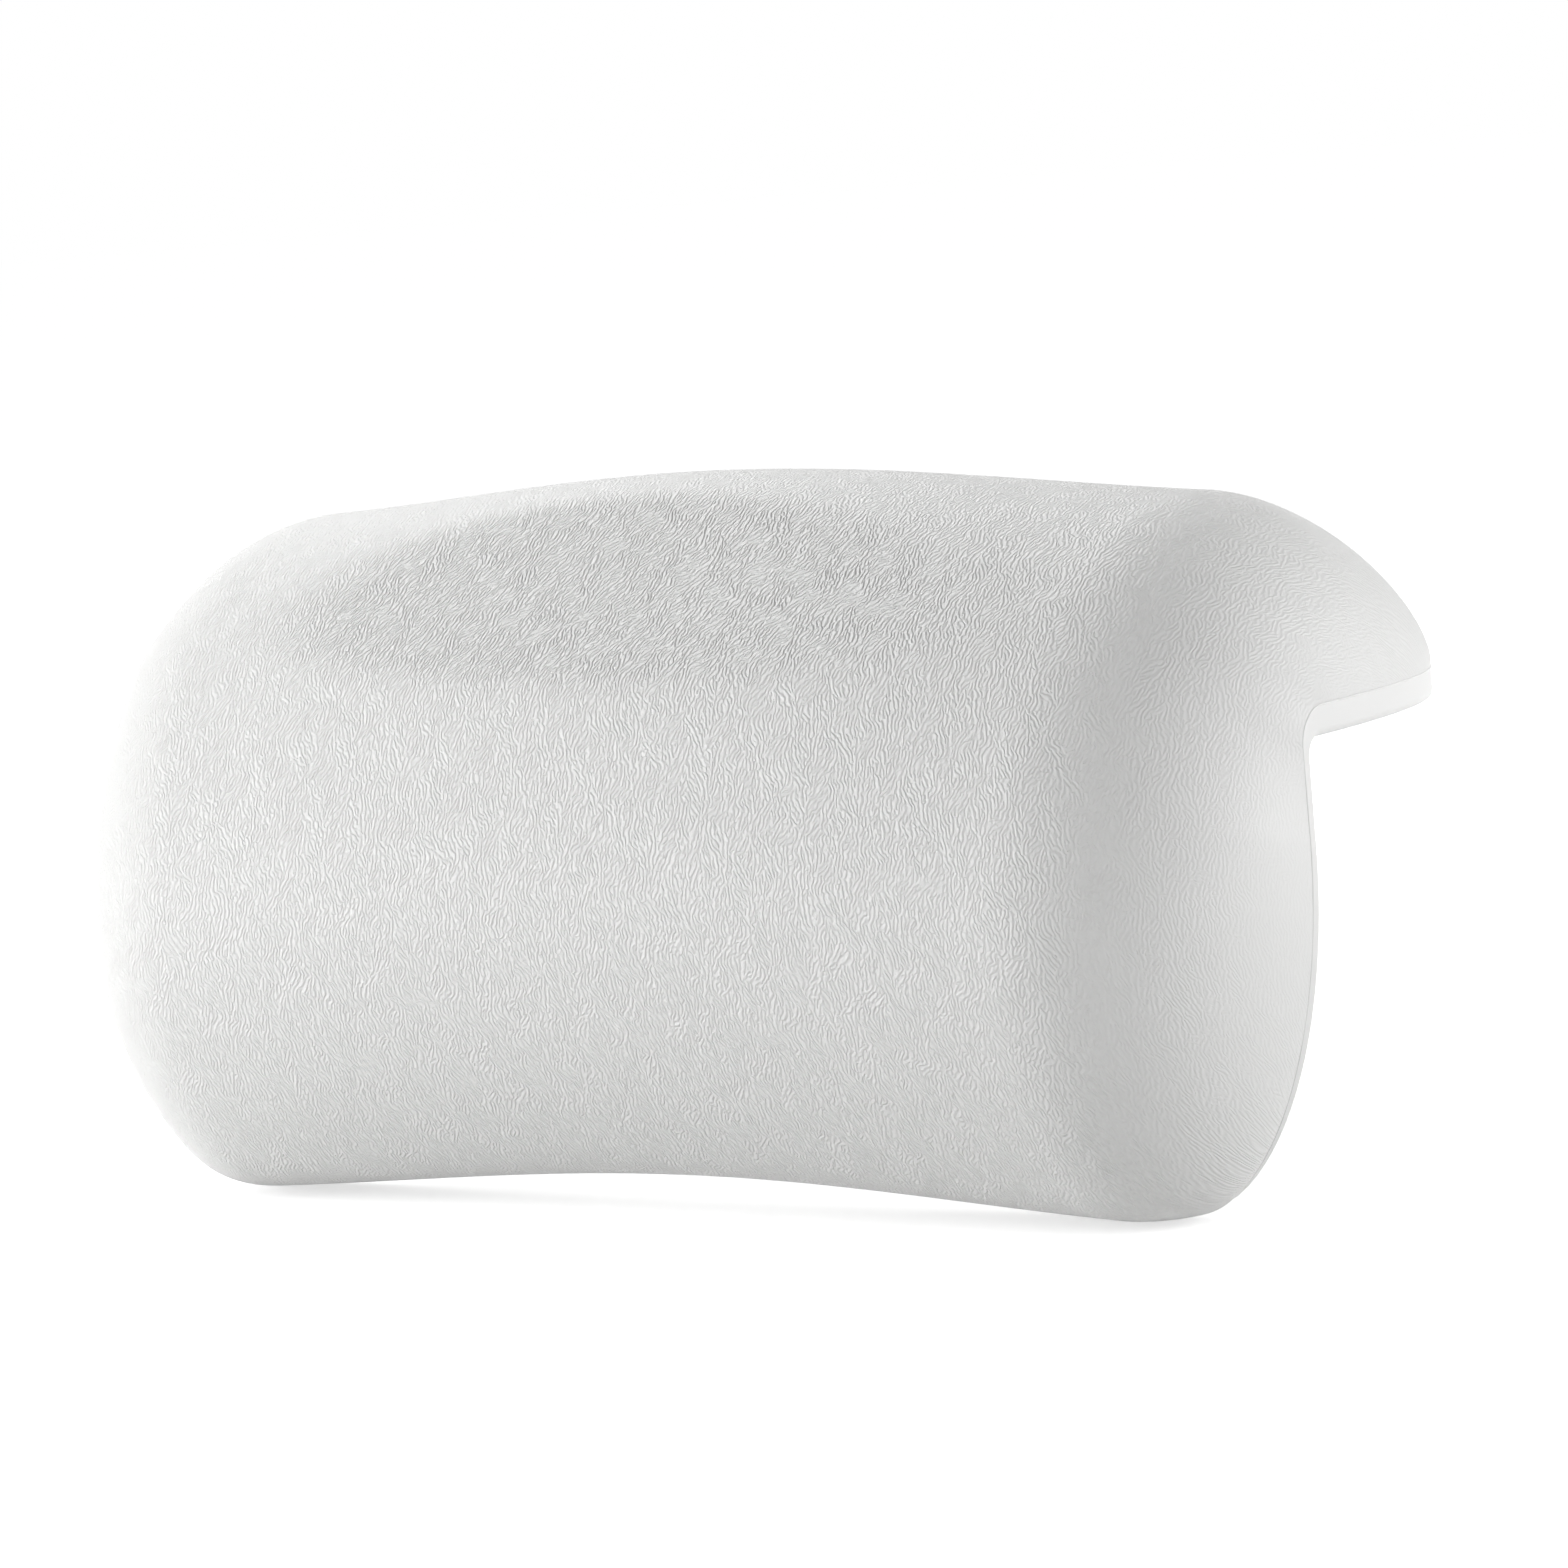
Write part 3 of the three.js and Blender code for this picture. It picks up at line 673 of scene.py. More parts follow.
def arc_lengths(points, axis, middle):
    """How far each point lies along its line of points, counted from the middle one."""
    steps = np.linalg.norm(np.diff(points, axis=axis), axis=-1)
    start = np.zeros_like(np.take(steps, [0], axis=axis))
    reached = np.concatenate([start, np.cumsum(steps, axis=axis)], axis=axis)
    return reached - np.take(reached, [middle], axis=axis)


def store_surface(piece, places, attributes):
    """Gives a piece its surface coordinates in metres and its other values, point by point."""
    mesh = piece.data
    corner_point = np.zeros(len(mesh.loops), int)
    mesh.loops.foreach_get("vertex_index", corner_point)
    uv = mesh.uv_layers.new(name="surface")
    uv.uv.foreach_set("vector", places[corner_point].ravel())
    for name, values in attributes.items():
        mesh.attributes.new(name, "FLOAT", "POINT").data.foreach_set("value", values.ravel())


# The grain's slant in the scoop, in degrees, and its gain there. What it loses at the rounded ends
# grows from the middle with a power of the way out.
SCOOP_GRAIN_TURN, SCOOP_GRAIN_GAIN = 25, 0.8
END_GRAIN_LOSS, END_GRAIN_POWER = 0.85, 5


class BATHPILLOW_OT_grained_skin(bpy.types.Operator):
    """Builds the grained front skin with its head scoop"""

    bl_idname = "bathpillow.grained_skin"
    bl_label = "Grained skin"

    def execute(self, context):
        sizes, _, finishes = settings_of(context)
        outer, _, pressed = padding_sheets(sizes, 0, SKIN_STEPS)
        inner, _, _ = padding_sheets(sizes, sizes.skin_wall, SKIN_STEPS)
        points, faces = body_between(outer, inner)
        skin = mesh_object("grained_skin", points, faces, grained_skin_material(finishes))
        middle_row, middle_column = (steps // 2 for steps in outer.shape[:2])
        along = [arc_lengths(outer, 1, middle_column), arc_lengths(outer, 0, middle_row)]
        places = np.stack(along, axis=-1).reshape(-1, 2)
        in_scoop = np.clip(pressed / sizes.scoop_softness, 0, 1)
        turn = -math.radians(SCOOP_GRAIN_TURN) * in_scoop
        to_end = np.clip(2 * np.abs(outer[..., 0]) / sizes.width, 0, 1)
        deep = 1 + SCOOP_GRAIN_GAIN * in_scoop - END_GRAIN_LOSS * to_end**END_GRAIN_POWER
        # The inner side has the outer one's coordinates, and no grain.
        turns = np.concatenate([turn.ravel()] * 2)
        depths = np.concatenate([deep.ravel(), np.zeros(deep.size)])
        values = {"grain_turn": turns, "grain_depth": depths}
        store_surface(skin, np.concatenate([places, places]), values)
        to_frame(skin)
        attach(skin, "pillow")
        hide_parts("front_skin")
        return {"FINISHED"}


# Turned pieces

# Steps round a turned piece and a cutter, and of a rounded corner and the mouth's rounding
TURNED_STEPS, CUTTER_STEPS, CORNER_STEPS, MOUTH_STEPS = 96, 128, 4, 5
# How deep the mouth's rounding starts, as a share of its radius
MOUTH_SUNK_SHARE = 0.88
# Steps of the smooth back, along the flat and round either end
BACK_STEPS = (80, 8)
# Its rows, round each edge, up the body, round the bend and along the hook
BACK_ROW_STEPS = (8, 40, 16, 30)
# Steps along the whole seam and of its lines across the width, and the sides of its bead
SEAM_STEPS, SEAM_END_STEPS, BEAD_SIDES = 900, 119, 10


def eased(start, pull, end, steps):
    """Points of a curve that leaves its start towards the pull, and reaches its end from there."""
    t = np.linspace(0, 1, steps + 1)[:, None]
    return (1 - t) ** 2 * start + 2 * t * (1 - t) * pull + t**2 * end


def rounded(corners):
    """A line through corners given as radius, height and how much is rounded off on either side."""
    line = []
    for k, (radius, height, trim) in enumerate(corners):
        here = np.array((radius, height))
        if not trim:
            line.append(here)
            continue
        before, after = (np.array(corners[n][:2]) - here for n in (k - 1, k + 1))
        start = here + trim * before / np.linalg.norm(before)
        end = here + trim * after / np.linalg.norm(after)
        line.extend(eased(start, here, end, CORNER_STEPS))
    return np.array(line)


def turned(name, profile, material, steps=TURNED_STEPS):
    """A round piece about the Y axis, from a profile of radius and height that starts and ends on it."""
    radius, height = profile[1:-1, :1], profile[1:-1, 1:]
    turn = np.arange(steps) * 2 * math.pi / steps
    level = np.repeat(height, steps, axis=1)
    rings = np.stack([radius * np.sin(turn), level, radius * np.cos(turn)], axis=-1)
    around = np.arange(steps)
    ahead = np.roll(around, -1)
    first, last = radius.size * steps, radius.size * steps + 1
    top = (radius.size - 1) * steps
    faces = ring_faces(radius.size, steps)
    faces += zip(ahead, around, [first] * steps)
    faces += zip(top + around, top + ahead, [last] * steps)
    poles = [(0, profile[0][1], 0), (0, profile[-1][1], 0)]
    points = np.concatenate([rings.reshape(-1, 3), poles])
    return faced_outward(mesh_object(name, points, faces, material))


def stations():
    """Where each cup sits, as the matrix that takes a piece from the Y axis to its place."""
    places = {}
    for body, joint in SWIVELS.items():
        place = Matrix.Translation(Vector(joint["pos_m"]))
        on_hook = body.startswith("cup_hook")
        turn = Matrix.Rotation(-math.pi / 2, 4, "X") if on_hook else Matrix.Rotation(math.pi, 4, "Y")
        places[body] = place @ turn
    return places


def housing_space(fittings, gap, mouth):
    """What is cut out of a piece for a housing, with the mouth's rounding where it has one."""
    floor = -fittings.pan_depth - gap
    back = -fittings.pan_depth - fittings.pocket_depth - fittings.housing_wall - gap
    pocket = fittings.pocket_radius + fittings.housing_wall + gap
    pan = fittings.housing_radius + gap
    profile = [(0, back), (pocket, back), (pocket, floor), (pan, floor)]
    if mouth:
        # The rounding runs a little past the panel's face, which it would else only touch.
        turn = np.linspace(0, math.pi / 2, MOUTH_STEPS + 1)
        profile += [
            (pan + mouth * (1 - math.cos(t)), mouth * (math.sin(t) - MOUTH_SUNK_SHARE)) for t in turn
        ]
    else:
        profile.append((pan, 0))
    widest = profile[-1][0]
    return np.array([*profile, (widest, fittings.pan_depth), (0, fittings.pan_depth)])


def housing_cutters(fittings, gap, mouth, material):
    cutters = []
    for body, place in stations().items():
        profile = housing_space(fittings, gap, mouth)
        cutter = turned("space_for_" + body, profile, material, CUTTER_STEPS)
        cutter.data.transform(place)
        cutters.append(cutter)
    return cutters


class BATHPILLOW_OT_smooth_back(bpy.types.Operator):
    """Builds the smooth panel behind the parting line, with a round opening for each housing"""

    bl_idname = "bathpillow.smooth_back"
    bl_label = "Smooth back"

    def execute(self, context):
        sizes, fittings, finishes = settings_of(context)
        front_line, rear_line, row_turn = self.rows(sizes)
        flat, around = across_steps(*BACK_STEPS)
        turn = math.pi / 2 * around
        half = half_width(sizes, front_line)[:, None]
        edge = sizes.rear_round
        x = flat * (half - edge) + edge * np.sin(turn)
        inward = front_line - rear_line
        inward /= np.linalg.norm(inward, axis=1, keepdims=True)
        sunk = edge * (1 - np.cos(row_turn)[:, None] * np.cos(turn))
        lines = (front_line, rear_line, inward)
        (front_y, front_z), (rear_y, rear_z), (in_y, in_z) = (line.T[..., None] for line in lines)
        arch = sizes.lower_arch * (1 - rising(sizes, front_z)) * bow(sizes, x)
        front = np.stack([x, front_y + 0 * x, front_z + arch], axis=-1)
        rear = np.stack([x, rear_y + in_y * sunk, rear_z + in_z * sunk + arch], axis=-1)
        points, faces = body_between(front, rear)
        material = smooth_skin_material(finishes)
        back = to_frame(mesh_object("smooth_back", points, faces, material))
        carve(back, housing_cutters(fittings, sizes.fit_gap, fittings.mouth_round, material))
        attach(back, "pillow")
        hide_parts("back_panel")
        return {"FINISHED"}

    def rows(self, sizes):
        """Rows from foot to tip: points of the parting line, the rear line behind them, and how far
        each row has turned over the rounded edge."""
        lines = (parting_line(sizes, 0), elbow_line(sizes, 0, 0, sizes.inner_fillet))
        edge_steps, body_steps, bend_steps, hook_steps = BACK_ROW_STEPS
        quarter = np.linspace(math.pi / 2, 0, edge_steps + 1)
        edge = sizes.rear_round
        stretches = []
        for line in lines:
            foot, bend_start, bend_end, tip = line[0], line[1], line[-2], line[-1]
            up = (bend_start - foot) / np.linalg.norm(bend_start - foot)
            back = (tip - bend_end) / np.linalg.norm(tip - bend_end)
            turned_foot = foot + edge * (1 - np.sin(quarter))[:, None] * up
            turned_tip = tip - edge * (1 - np.sin(quarter[::-1][1:]))[:, None] * back
            middle = (
                (np.array((foot + edge * up, bend_start)), body_steps),
                (line[1:-1], bend_steps),
                (np.array((bend_end, tip - edge * back)), hook_steps),
            )
            straight = [at_shares(part, np.linspace(0, 1, steps + 1)[1:]) for part, steps in middle]
            stretches.append(np.concatenate([turned_foot, *straight, turned_tip]))
        level = np.zeros(sum(BACK_ROW_STEPS[1:]))
        return (*stretches, np.concatenate([quarter, level, quarter[::-1][1:]]))


def seam_tree():
    """A fine bead along a line of points, which wanders a little off it."""
    numbers = ("Bead Radius", "Waviness", "Wave Length", "Seed")
    tree, given = new_tree("seam_bead", {**dict.fromkeys(numbers, "Float"), "Material": "Material"})
    curve = add(tree, "GeometryNodeMeshToCurve", {"Mesh": given["Geometry"]})
    even = add(tree, "GeometryNodeResampleCurve", {"Curve": curve, "Count": SEAM_STEPS})
    position = add(tree, "GeometryNodeInputPosition")
    per_metre = add(tree, "ShaderNodeMath", {0: 1.0, 1: given["Wave Length"]}, operation="DIVIDE")
    waves = {"Vector": position, "W": given["Seed"], "Scale": per_metre, "Detail": 2.0}
    noise = add(tree, "ShaderNodeTexNoise", waves, noise_dimensions="4D")
    middle = {0: noise.outputs["Color"], 1: (0.5, 0.5, 0.5)}
    centred = add(tree, "ShaderNodeVectorMath", middle, operation="SUBTRACT")
    doubled = add(tree, "ShaderNodeMath", {0: given["Waviness"], 1: 2.0}, operation="MULTIPLY")
    offset = add(tree, "ShaderNodeVectorMath", {0: centred, "Scale": doubled}, operation="SCALE")
    wavy = add(tree, "GeometryNodeSetPosition", {"Geometry": even, "Offset": offset})
    section = {"Resolution": BEAD_SIDES, "Radius": given["Bead Radius"]}
    ring = add(tree, "GeometryNodeCurvePrimitiveCircle", section)
    bead = add(tree, "GeometryNodeCurveToMesh", {"Curve": wavy, "Profile Curve": ring.outputs["Curve"]})
    close_tree(tree, bead, given["Material"])
    return tree


class BATHPILLOW_OT_seam(bpy.types.Operator):
    """Builds the fine flash along the parting line between the two skins"""

    bl_idname = "bathpillow.seam"
    bl_label = "Seam"

    def execute(self, context):
        sizes, fittings, _ = settings_of(context)
        base = at_shares(parting_line(sizes, sizes.fit_gap / 2), even_shares(SKIN_STEPS[2]))
        half = half_width(sizes, base) - fittings.seam_radius / 2
        right = np.stack([half, base[:, 0], base[:, 1]], axis=-1)
        foot, tip = right[0], right[-1]
        steps = np.linspace(-1, 1, SEAM_END_STEPS + 1)[1:-1]
        over_tip = [(-tip[0] * step, *tip[1:]) for step in steps]
        under_foot = [(foot[0] * step, *foot[1:]) for step in steps]
        loop = np.concatenate([right, over_tip, right[::-1] * (-1, 1, 1), under_foot])
        loop[:, 2] += sizes.lower_arch * (1 - rising(sizes, loop[:, 2])) * bow(sizes, loop[:, 0])
        start = np.arange(len(loop))
        edges = np.stack([start, np.roll(start, -1)], axis=-1)
        seam = placed("seam", plain_mesh("seam", loop.tolist(), edges.tolist()))
        values = {
            "Bead Radius": fittings.seam_radius,
            "Waviness": fittings.seam_waviness,
            "Wave Length": fittings.seam_wave,
            "Seed": 3.0,
            "Material": bpy.data.materials["smooth_polyurethane_skin"],
        }
        to_frame(grow(seam, seam_tree(), values))
        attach(seam, "pillow")
        return {"FINISHED"}


# Inside

# Steps of each bend of the stiffener's space
PLATE_BEND_STEPS = 11


def plate_prism(sizes, fittings, clearance, material):
    """The stiffener's L-shaped body across the width, wider all round by the clearance."""
    low, high = PLATE_LOW - CORNER, PLATE_HIGH - CORNER
    near = high.z - fittings.plate_thick - clearance
    far = high.z + clearance
    bend = fittings.plate_bend + clearance
    turn = np.linspace(0, math.pi / 2, PLATE_BEND_STEPS + 1)
    inner = [(bend * (1 - math.cos(t)) - near, near - bend * (1 - math.sin(t))) for t in turn]
    wide = bend + far - near
    outer = [(bend - near - wide * math.cos(t), near - bend + wide * math.sin(t)) for t in turn]
    foot, tip = low.z - clearance, high.y + clearance
    outline = [(-near, foot), *inner, (tip, near), (tip, far), *outer[::-1], (-far, foot)]
    half = high.x + clearance
    return stacked("plate_space", [[(x, y, z) for y, z in outline] for x in (-half, half)], material)


class BATHPILLOW_OT_foam(bpy.types.Operator):
    """Builds the foam core, with the space that the stiffener and the housings take in it"""

    bl_idname = "bathpillow.foam"
    bl_label = "Foam core"

    def execute(self, context):
        sizes, fittings, finishes = settings_of(context)
        front, back, _ = padding_sheets(sizes, sizes.skin_wall + sizes.fit_gap, FOAM_STEPS)
        points, faces = body_between(front, back)
        material = foam_material(finishes)
        foam = to_frame(mesh_object("foam_padding", points, faces, material))
        plate = to_frame(plate_prism(sizes, fittings, sizes.fit_gap, material))
        carve(foam, [plate, *housing_cutters(fittings, sizes.fit_gap, 0, material)])
        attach(foam, "pillow")
        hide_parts("foam_core")
        return {"FINISHED"}


class BATHPILLOW_OT_stiffener(bpy.types.Operator):
    """Gives the stiffener its moulded finish"""

    bl_idname = "bathpillow.stiffener"
    bl_label = "Stiffener"

    def execute(self, context):
        materials = frame["nodes"]["stiffener"].data.materials
        materials.clear()
        materials.append(polypropylene_material(settings_of(context)[2]))
        return {"FINISHED"}


# Housings and cups

# The dome's curve is pulled this far out, and has risen this far there, as shares.
DOME_PULL_SHARE, DOME_RISE_SHARE = 0.77, 0.11
# The pull tab's face lies this far below the lip's, so that the two join.
TAB_SINK = 0.00005
# A grip rib's length, as a share of the tab's width
RIB_LENGTH_SHARE = 0.6
# Steps of the dome's curve and of the tab's round end, and the sides of a grip rib
DOME_STEPS, TAB_STEPS, RIB_SIDES = 24, 24, 16


def placing_tree():
    """Sets a copy of a piece on each point, turned as the point says."""
    tree, given = new_tree("housings_in_place", {"Housing": "Object", "Material": "Material"})
    master = add(tree, "GeometryNodeObjectInfo", {"Object": given["Housing"]}).outputs["Geometry"]
    turn = add(tree, "GeometryNodeInputNamedAttribute", {"Name": "turn"}, data_type="FLOAT_VECTOR")
    rotation = add(tree, "FunctionNodeEulerToRotation", {"Euler": turn})
    copies = {"Points": given["Geometry"], "Instance": master, "Rotation": rotation}
    close_tree(tree, add(tree, "GeometryNodeInstanceOnPoints", copies), given["Material"])
    return tree


class BATHPILLOW_OT_housings(bpy.types.Operator):
    """Builds the four round pans that hold the suction cups"""

    bl_idname = "bathpillow.housings"
    bl_label = "Cup housings"

    def execute(self, context):
        sizes, fittings, finishes = settings_of(context)
        material = abs_material(finishes)
        outer, wall, trim = fittings.housing_radius, fittings.housing_wall, fittings.edge_round
        back, pocket = -fittings.pan_depth, fittings.pocket_radius
        floor = fittings.housing_floor + back
        pocket_end = back - fittings.pocket_depth
        boss = pocket + wall
        neck = fittings.neck_radius + sizes.fit_gap
        corners = [
            (0, pocket_end - wall, 0),
            (boss, pocket_end - wall, trim),
            (boss, back, trim),
            (outer, back, trim),
            (outer, 0, trim),
            (outer - wall, 0, trim),
            (outer - wall, floor, 2 * trim),
            (neck, floor, trim / 2),
            (neck, back, 0),
            (pocket, back, 0),
            (pocket, pocket_end, 0),
            (0, pocket_end, 0),
        ]
        master = turned("housing", rounded(corners), material)
        places = stations().values()
        mesh = plain_mesh("cup_housings", [place.translation for place in places])
        turns = mesh.attributes.new("turn", "FLOAT_VECTOR", "POINT")
        for point, place in zip(turns.data, places):
            point.vector = place.to_euler()
        housings = placed("cup_housings", mesh)
        grow(housings, placing_tree(), {"Housing": master, "Material": material})
        bpy.data.objects.remove(master)
        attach(housings, "pillow")
        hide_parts(*(name for name in frame["nodes"] if name.startswith("cup_housing")))
        return {"FINISHED"}


def cup_tree():
    """Joins a turned cup, its pull tab and a row of grip ribs across the tab."""
    kinds = {
        "Tab": "Object",
        "Rib Count": "Int",
        "Rib Radius": "Float",
        "Rib Length": "Float",
        "First Rib": "Vector",
        "Rib Step": "Vector",
        "Material": "Material",
    }
    tree, given = new_tree("ribbed_cup", kinds)
    tab = add(tree, "GeometryNodeObjectInfo", {"Object": given["Tab"]})
    row = {"Count": given["Rib Count"], "Start Location": given["First Rib"], "Offset": given["Rib Step"]}
    line = add(tree, "GeometryNodeMeshLine", row)
    form = {"Vertices": RIB_SIDES, "Radius": given["Rib Radius"], "Depth": given["Rib Length"]}
    rib = add(tree, "GeometryNodeMeshCylinder", form)
    copies = {"Points": line, "Instance": rib.outputs["Mesh"], "Rotation": (0, math.pi / 2, 0)}
    ribs = add(tree, "GeometryNodeInstanceOnPoints", copies)
    union = add(tree, "GeometryNodeMeshBoolean", operation="UNION", solver="EXACT")
    real_ribs = add(tree, "GeometryNodeRealizeInstances", {"Geometry": ribs})
    for part in (given["Geometry"], tab.outputs["Geometry"], real_ribs.outputs[0]):
        tree.links.new(part, union.inputs["Mesh 2"])
    close_tree(tree, union, given["Material"])
    return tree


def cup_profile(fittings, gap):
    """The cup from the stud's head, by neck, shoulder and dome, to its lip and hollow."""
    shoulder = fittings.housing_floor - fittings.pan_depth + gap
    head_front = -fittings.pan_depth - gap
    head_back = -fittings.pan_depth - fittings.pocket_depth + gap
    radius, lip = fittings.cup_radius, fittings.cup_proud
    neck, head, trim = fittings.neck_radius, fittings.head_radius, fittings.edge_round
    low_lip, flat = lip - fittings.lip_thick, radius - fittings.lip_flat
    hollow = shoulder + fittings.dome_thick
    dome = shoulder + DOME_RISE_SHARE * (lip - shoulder)
    pull = DOME_PULL_SHARE * radius
    stud = [
        (0, head_back, 0),
        (neck, head_back, trim),
        (head, head_front - 2 * trim, trim / 2),
        (head, head_front, trim / 2),
        (neck, head_front, trim / 2),
        (neck, shoulder, trim / 2),
        (fittings.dome_radius, shoulder, 0),
    ]
    root = np.array((fittings.dome_radius, shoulder))
    outside = eased(root, np.array((pull, dome)), np.array((radius, low_lip)), DOME_STEPS)
    edge = rounded([(radius, low_lip, 0), (radius, lip, trim / 2), (flat, lip, 0)])
    inside = eased(np.array((flat, lip)), np.array((pull, hollow)), np.array((0, hollow)), DOME_STEPS)
    return np.concatenate([rounded(stud), outside[1:], edge[1:], inside[1:]])


def pull_tab(fittings, material):
    """A flat tab with a round end and softened edges, reaching out along +Z."""
    half, thick = fittings.tab_width / 2, fittings.tab_thick
    trim = fittings.edge_round / 2
    far = fittings.cup_radius + fittings.tab_length - half
    near = fittings.cup_radius - fittings.tab_lap
    top = fittings.cup_proud - TAB_SINK
    turn = np.linspace(0, math.pi, TAB_STEPS + 1)
    rings = []
    for level, drawn in ((-thick, trim), (-thick + trim, 0), (-trim, 0), (0, trim)):
        reach, height = half - drawn, top + level
        end = [(reach * math.cos(t), height, far + reach * math.sin(t)) for t in turn]
        rings.append([(reach, height, near), *end, (-reach, height, near)])
    return stacked("tab", rings, material)


class BATHPILLOW_OT_suction_cups(bpy.types.Operator):
    """Builds the four clear suction cups, each on its own swivel"""

    bl_idname = "bathpillow.suction_cups"
    bl_label = "Suction cups"

    def execute(self, context):
        sizes, fittings, finishes = settings_of(context)
        material = vinyl_material(finishes)
        tree = cup_tree()
        tab = pull_tab(fittings, material)
        first = fittings.cup_radius + fittings.tab_length - fittings.tab_width / 2
        values = {
            "Tab": tab,
            "Rib Count": fittings.rib_count,
            "Rib Radius": fittings.rib_radius,
            "Rib Length": RIB_LENGTH_SHARE * fittings.tab_width,
            "First Rib": (0, fittings.cup_proud - fittings.tab_thick, first),
            "Rib Step": (0, 0, -fittings.rib_spacing),
            "Material": material,
        }
        profile = cup_profile(fittings, sizes.fit_gap)
        for body, place in stations().items():
            cup = grow(turned("clear_" + body, profile, material), tree, values)
            cup.data.transform(place)
            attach(cup, body)
            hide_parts(body.replace("cup_", "suction_cup_"))
        bpy.data.objects.remove(tab)
        return {"FINISHED"}


# Stage

# The floor's disc, and the gap between it and the pillow's foot
FLOOR_RADIUS, FLOOR_GAP, FLOOR_STEPS = 6, 0.0005, 96
# The floor glows least within the shadow's reach, and fully from where it is white.
SHADOW_REACH, WHITE_REACH, LEAST_GLOW = 0.2, 0.6, 0.6
# Each lamp: azimuth and elevation in degrees, from the front and counted to the right,
# distance and size in metres, and power in watts.
LAMPS = {
    "right_behind": (120, 5, 1.5, 1.2, 15.5),
    "left": (-60, 5, 1.5, 0.8, 7.6),
    "left_behind": (-135, 35, 1.5, 0.8, 3.2),
    "top_left": (-116, 56, 1.5, 0.5, 5.0),
    "right_high": (45, 35, 1.5, 0.8, 2.8),
    "front": (0, 5, 1.5, 0.8, 3.4),
    "behind": (165, 35, 1.5, 0.8, 1.0),
    "near_left": (-45, 10, 0.7, 0.4, 1.1),
    "near_left_high": (-67, 45, 0.7, 0.4, 0.6),
    "near_right": (90, 10, 0.7, 0.4, 0.4),
    "near_front": (-10, 50, 0.7, 0.4, 0.4),
    "near_top_left": (-112, 45, 0.7, 0.4, 0.3),
}


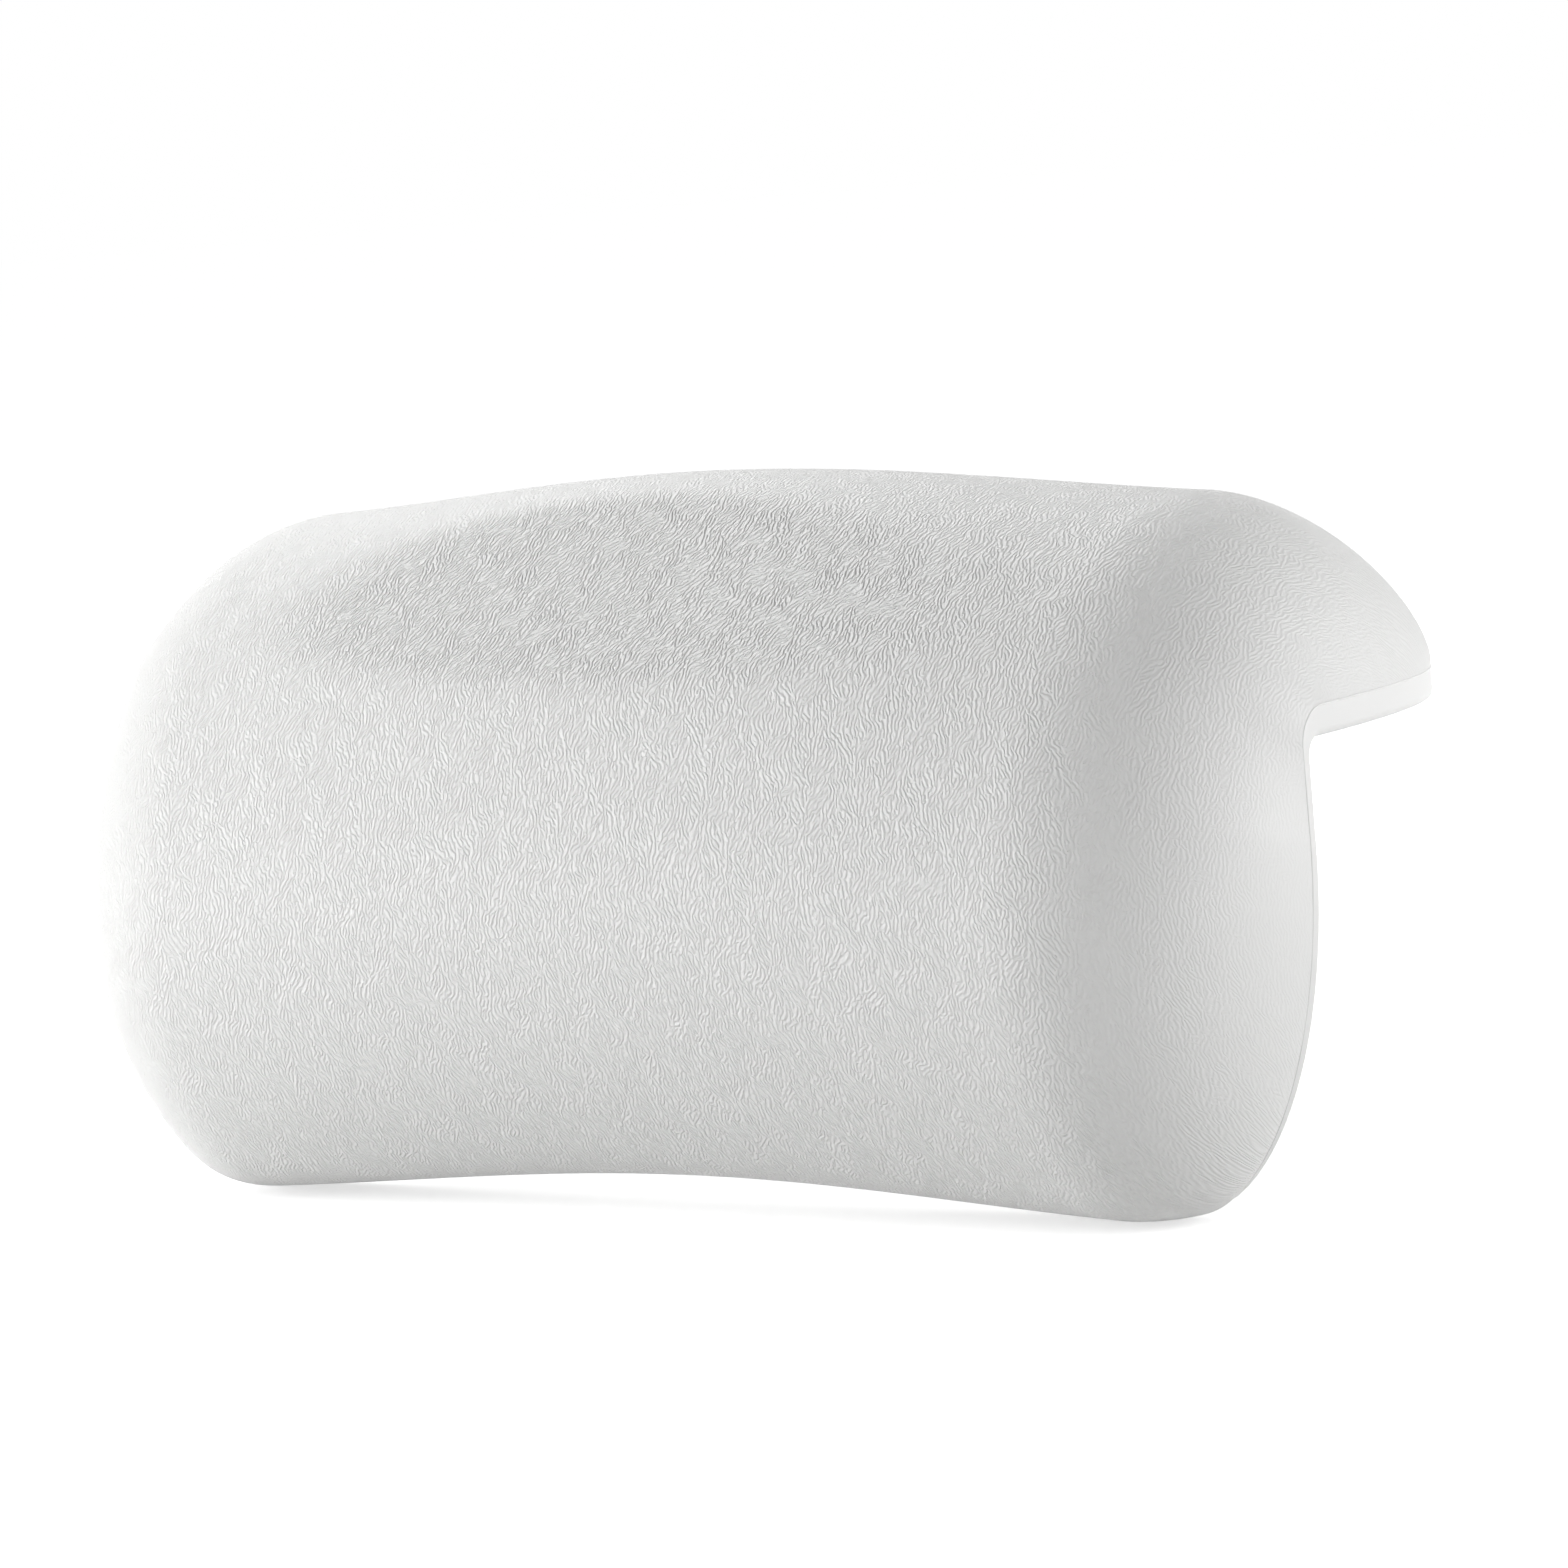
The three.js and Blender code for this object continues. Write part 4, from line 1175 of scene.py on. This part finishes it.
class BATHPILLOW_OT_stage(bpy.types.Operator):
    """Sets up the floor, the lamps and the camera"""

    bl_idname = "bathpillow.stage"
    bl_label = "Stage"

    def execute(self, context):
        settings = context.scene.bath_pillow
        context.scene.view_settings.view_transform = "Standard"
        self.floor(settings.finishes)
        self.world(context.scene, settings.stage.world_level)
        for name, placing in LAMPS.items():
            self.lamp(name, settings.stage.light_level, *placing)
        self.camera(context.scene, settings.stage)
        return {"FINISHED"}

    def floor(self, finishes):
        """A pale painted floor: it keeps the pillow's shadow near it, and is white further off."""
        material, tree = new_material("painted_floor")
        matt = add(tree, "ShaderNodeBsdfDiffuse", {"Color": rgba(finishes.floor)})
        place = add(tree, "ShaderNodeTexCoord")
        away = add(tree, "ShaderNodeVectorMath", {0: place.outputs["Object"]}, operation="LENGTH")
        levels = {0: away.outputs["Value"], 1: SHADOW_REACH, 2: WHITE_REACH, 3: LEAST_GLOW, 4: 1.0}
        white = add(tree, "ShaderNodeMapRange", levels)
        strength = add(tree, "ShaderNodeMath", {0: white, 1: shown_share(tree)}, operation="MULTIPLY")
        glow = add(tree, "ShaderNodeEmission", {"Color": (1, 1, 1, 1), "Strength": strength})
        both = add(tree, "ShaderNodeAddShader", {0: matt, 1: glow})
        add(tree, "ShaderNodeOutputMaterial", {"Surface": both})
        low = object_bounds()[0].z - FLOOR_GAP
        turn = np.linspace(0, 2 * math.pi, FLOOR_STEPS + 1)[:-1]
        points = [(FLOOR_RADIUS * math.cos(t), FLOOR_RADIUS * math.sin(t), low) for t in turn]
        mesh_object("floor", points, [list(range(len(points)))], material)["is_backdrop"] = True

    def world(self, scene, level):
        world = bpy.data.worlds.new("studio")
        world.use_nodes = True
        tree = world.node_tree
        tree.nodes.clear()
        strength = add(tree, "ShaderNodeMapRange", {0: shown_share(tree), 3: level, 4: 1.0})
        glow = add(tree, "ShaderNodeBackground", {"Color": (1, 1, 1, 1), "Strength": strength})
        add(tree, "ShaderNodeOutputWorld", {"Surface": glow})
        scene.world = world

    def lamp(self, name, level, azimuth, elevation, distance, size, power):
        light = bpy.data.lights.new(name, "AREA")
        light.shape = "DISK"
        light.size = size
        light.energy = power * level
        lamp = placed(name, light)
        a, e = math.radians(azimuth), math.radians(elevation)
        way = Vector((math.sin(a) * math.cos(e), -math.cos(a) * math.cos(e), math.sin(e)))
        lamp.location = CORNER + distance * way
        lamp.rotation_euler = way.to_track_quat("Z", "Y").to_euler()

    def camera(self, scene, stage):
        a, t = stage.azimuth, stage.tilt
        right = Vector((math.cos(a), math.sin(a) * math.cos(t), -math.sin(a) * math.sin(t)))
        up = Vector((0, math.sin(t), math.cos(t)))
        back = Vector((math.sin(a), -math.cos(a) * math.cos(t), math.cos(a) * math.sin(t)))
        data = bpy.data.cameras.new("camera")
        data.lens = stage.lens
        data.clip_end = 50
        camera = placed("camera", data)
        place = Matrix((right, up, back)).transposed().to_4x4()
        place.translation = CORNER + stage.aim_right * right + stage.aim_up * up + stage.distance * back
        camera.matrix_world = place
        scene.camera = camera


class BathPillow(bpy.types.PropertyGroup):
    """All settings of the pillow"""

    sizes: bpy.props.PointerProperty(type=PillowSizes)
    fittings: bpy.props.PointerProperty(type=FittingSizes)
    finishes: bpy.props.PointerProperty(type=Finishes)
    stage: bpy.props.PointerProperty(type=StageSettings)


OPERATORS = (
    BATHPILLOW_OT_grained_skin,
    BATHPILLOW_OT_smooth_back,
    BATHPILLOW_OT_seam,
    BATHPILLOW_OT_foam,
    BATHPILLOW_OT_stiffener,
    BATHPILLOW_OT_housings,
    BATHPILLOW_OT_suction_cups,
    BATHPILLOW_OT_stage,
)


class BATHPILLOW_PT_panel(bpy.types.Panel):
    """Lists the pieces and the settings"""

    bl_idname = "BATHPILLOW_PT_panel"
    bl_label = "Bath pillow"
    bl_space_type = "VIEW_3D"
    bl_region_type = "UI"
    bl_category = "Bath pillow"

    def draw(self, context):
        settings = context.scene.bath_pillow
        for operator in OPERATORS:
            self.layout.operator(operator.bl_idname)
        for group in (settings.sizes, settings.fittings, settings.finishes, settings.stage):
            box = self.layout.box()
            for name in group.__annotations__:
                box.prop(group, name)


CLASSES = (PillowSizes, FittingSizes, Finishes, StageSettings, BathPillow, *OPERATORS, BATHPILLOW_PT_panel)


def register():
    for cls in CLASSES:
        bpy.utils.register_class(cls)
    bpy.types.Scene.bath_pillow = bpy.props.PointerProperty(type=BathPillow)


def unregister():
    del bpy.types.Scene.bath_pillow
    for cls in reversed(CLASSES):
        bpy.utils.unregister_class(cls)


def main():
    register()
    for operator in OPERATORS:
        group, name = operator.bl_idname.split(".")
        getattr(getattr(bpy.ops, group), name)()


if __name__ == "__main__":
    main()
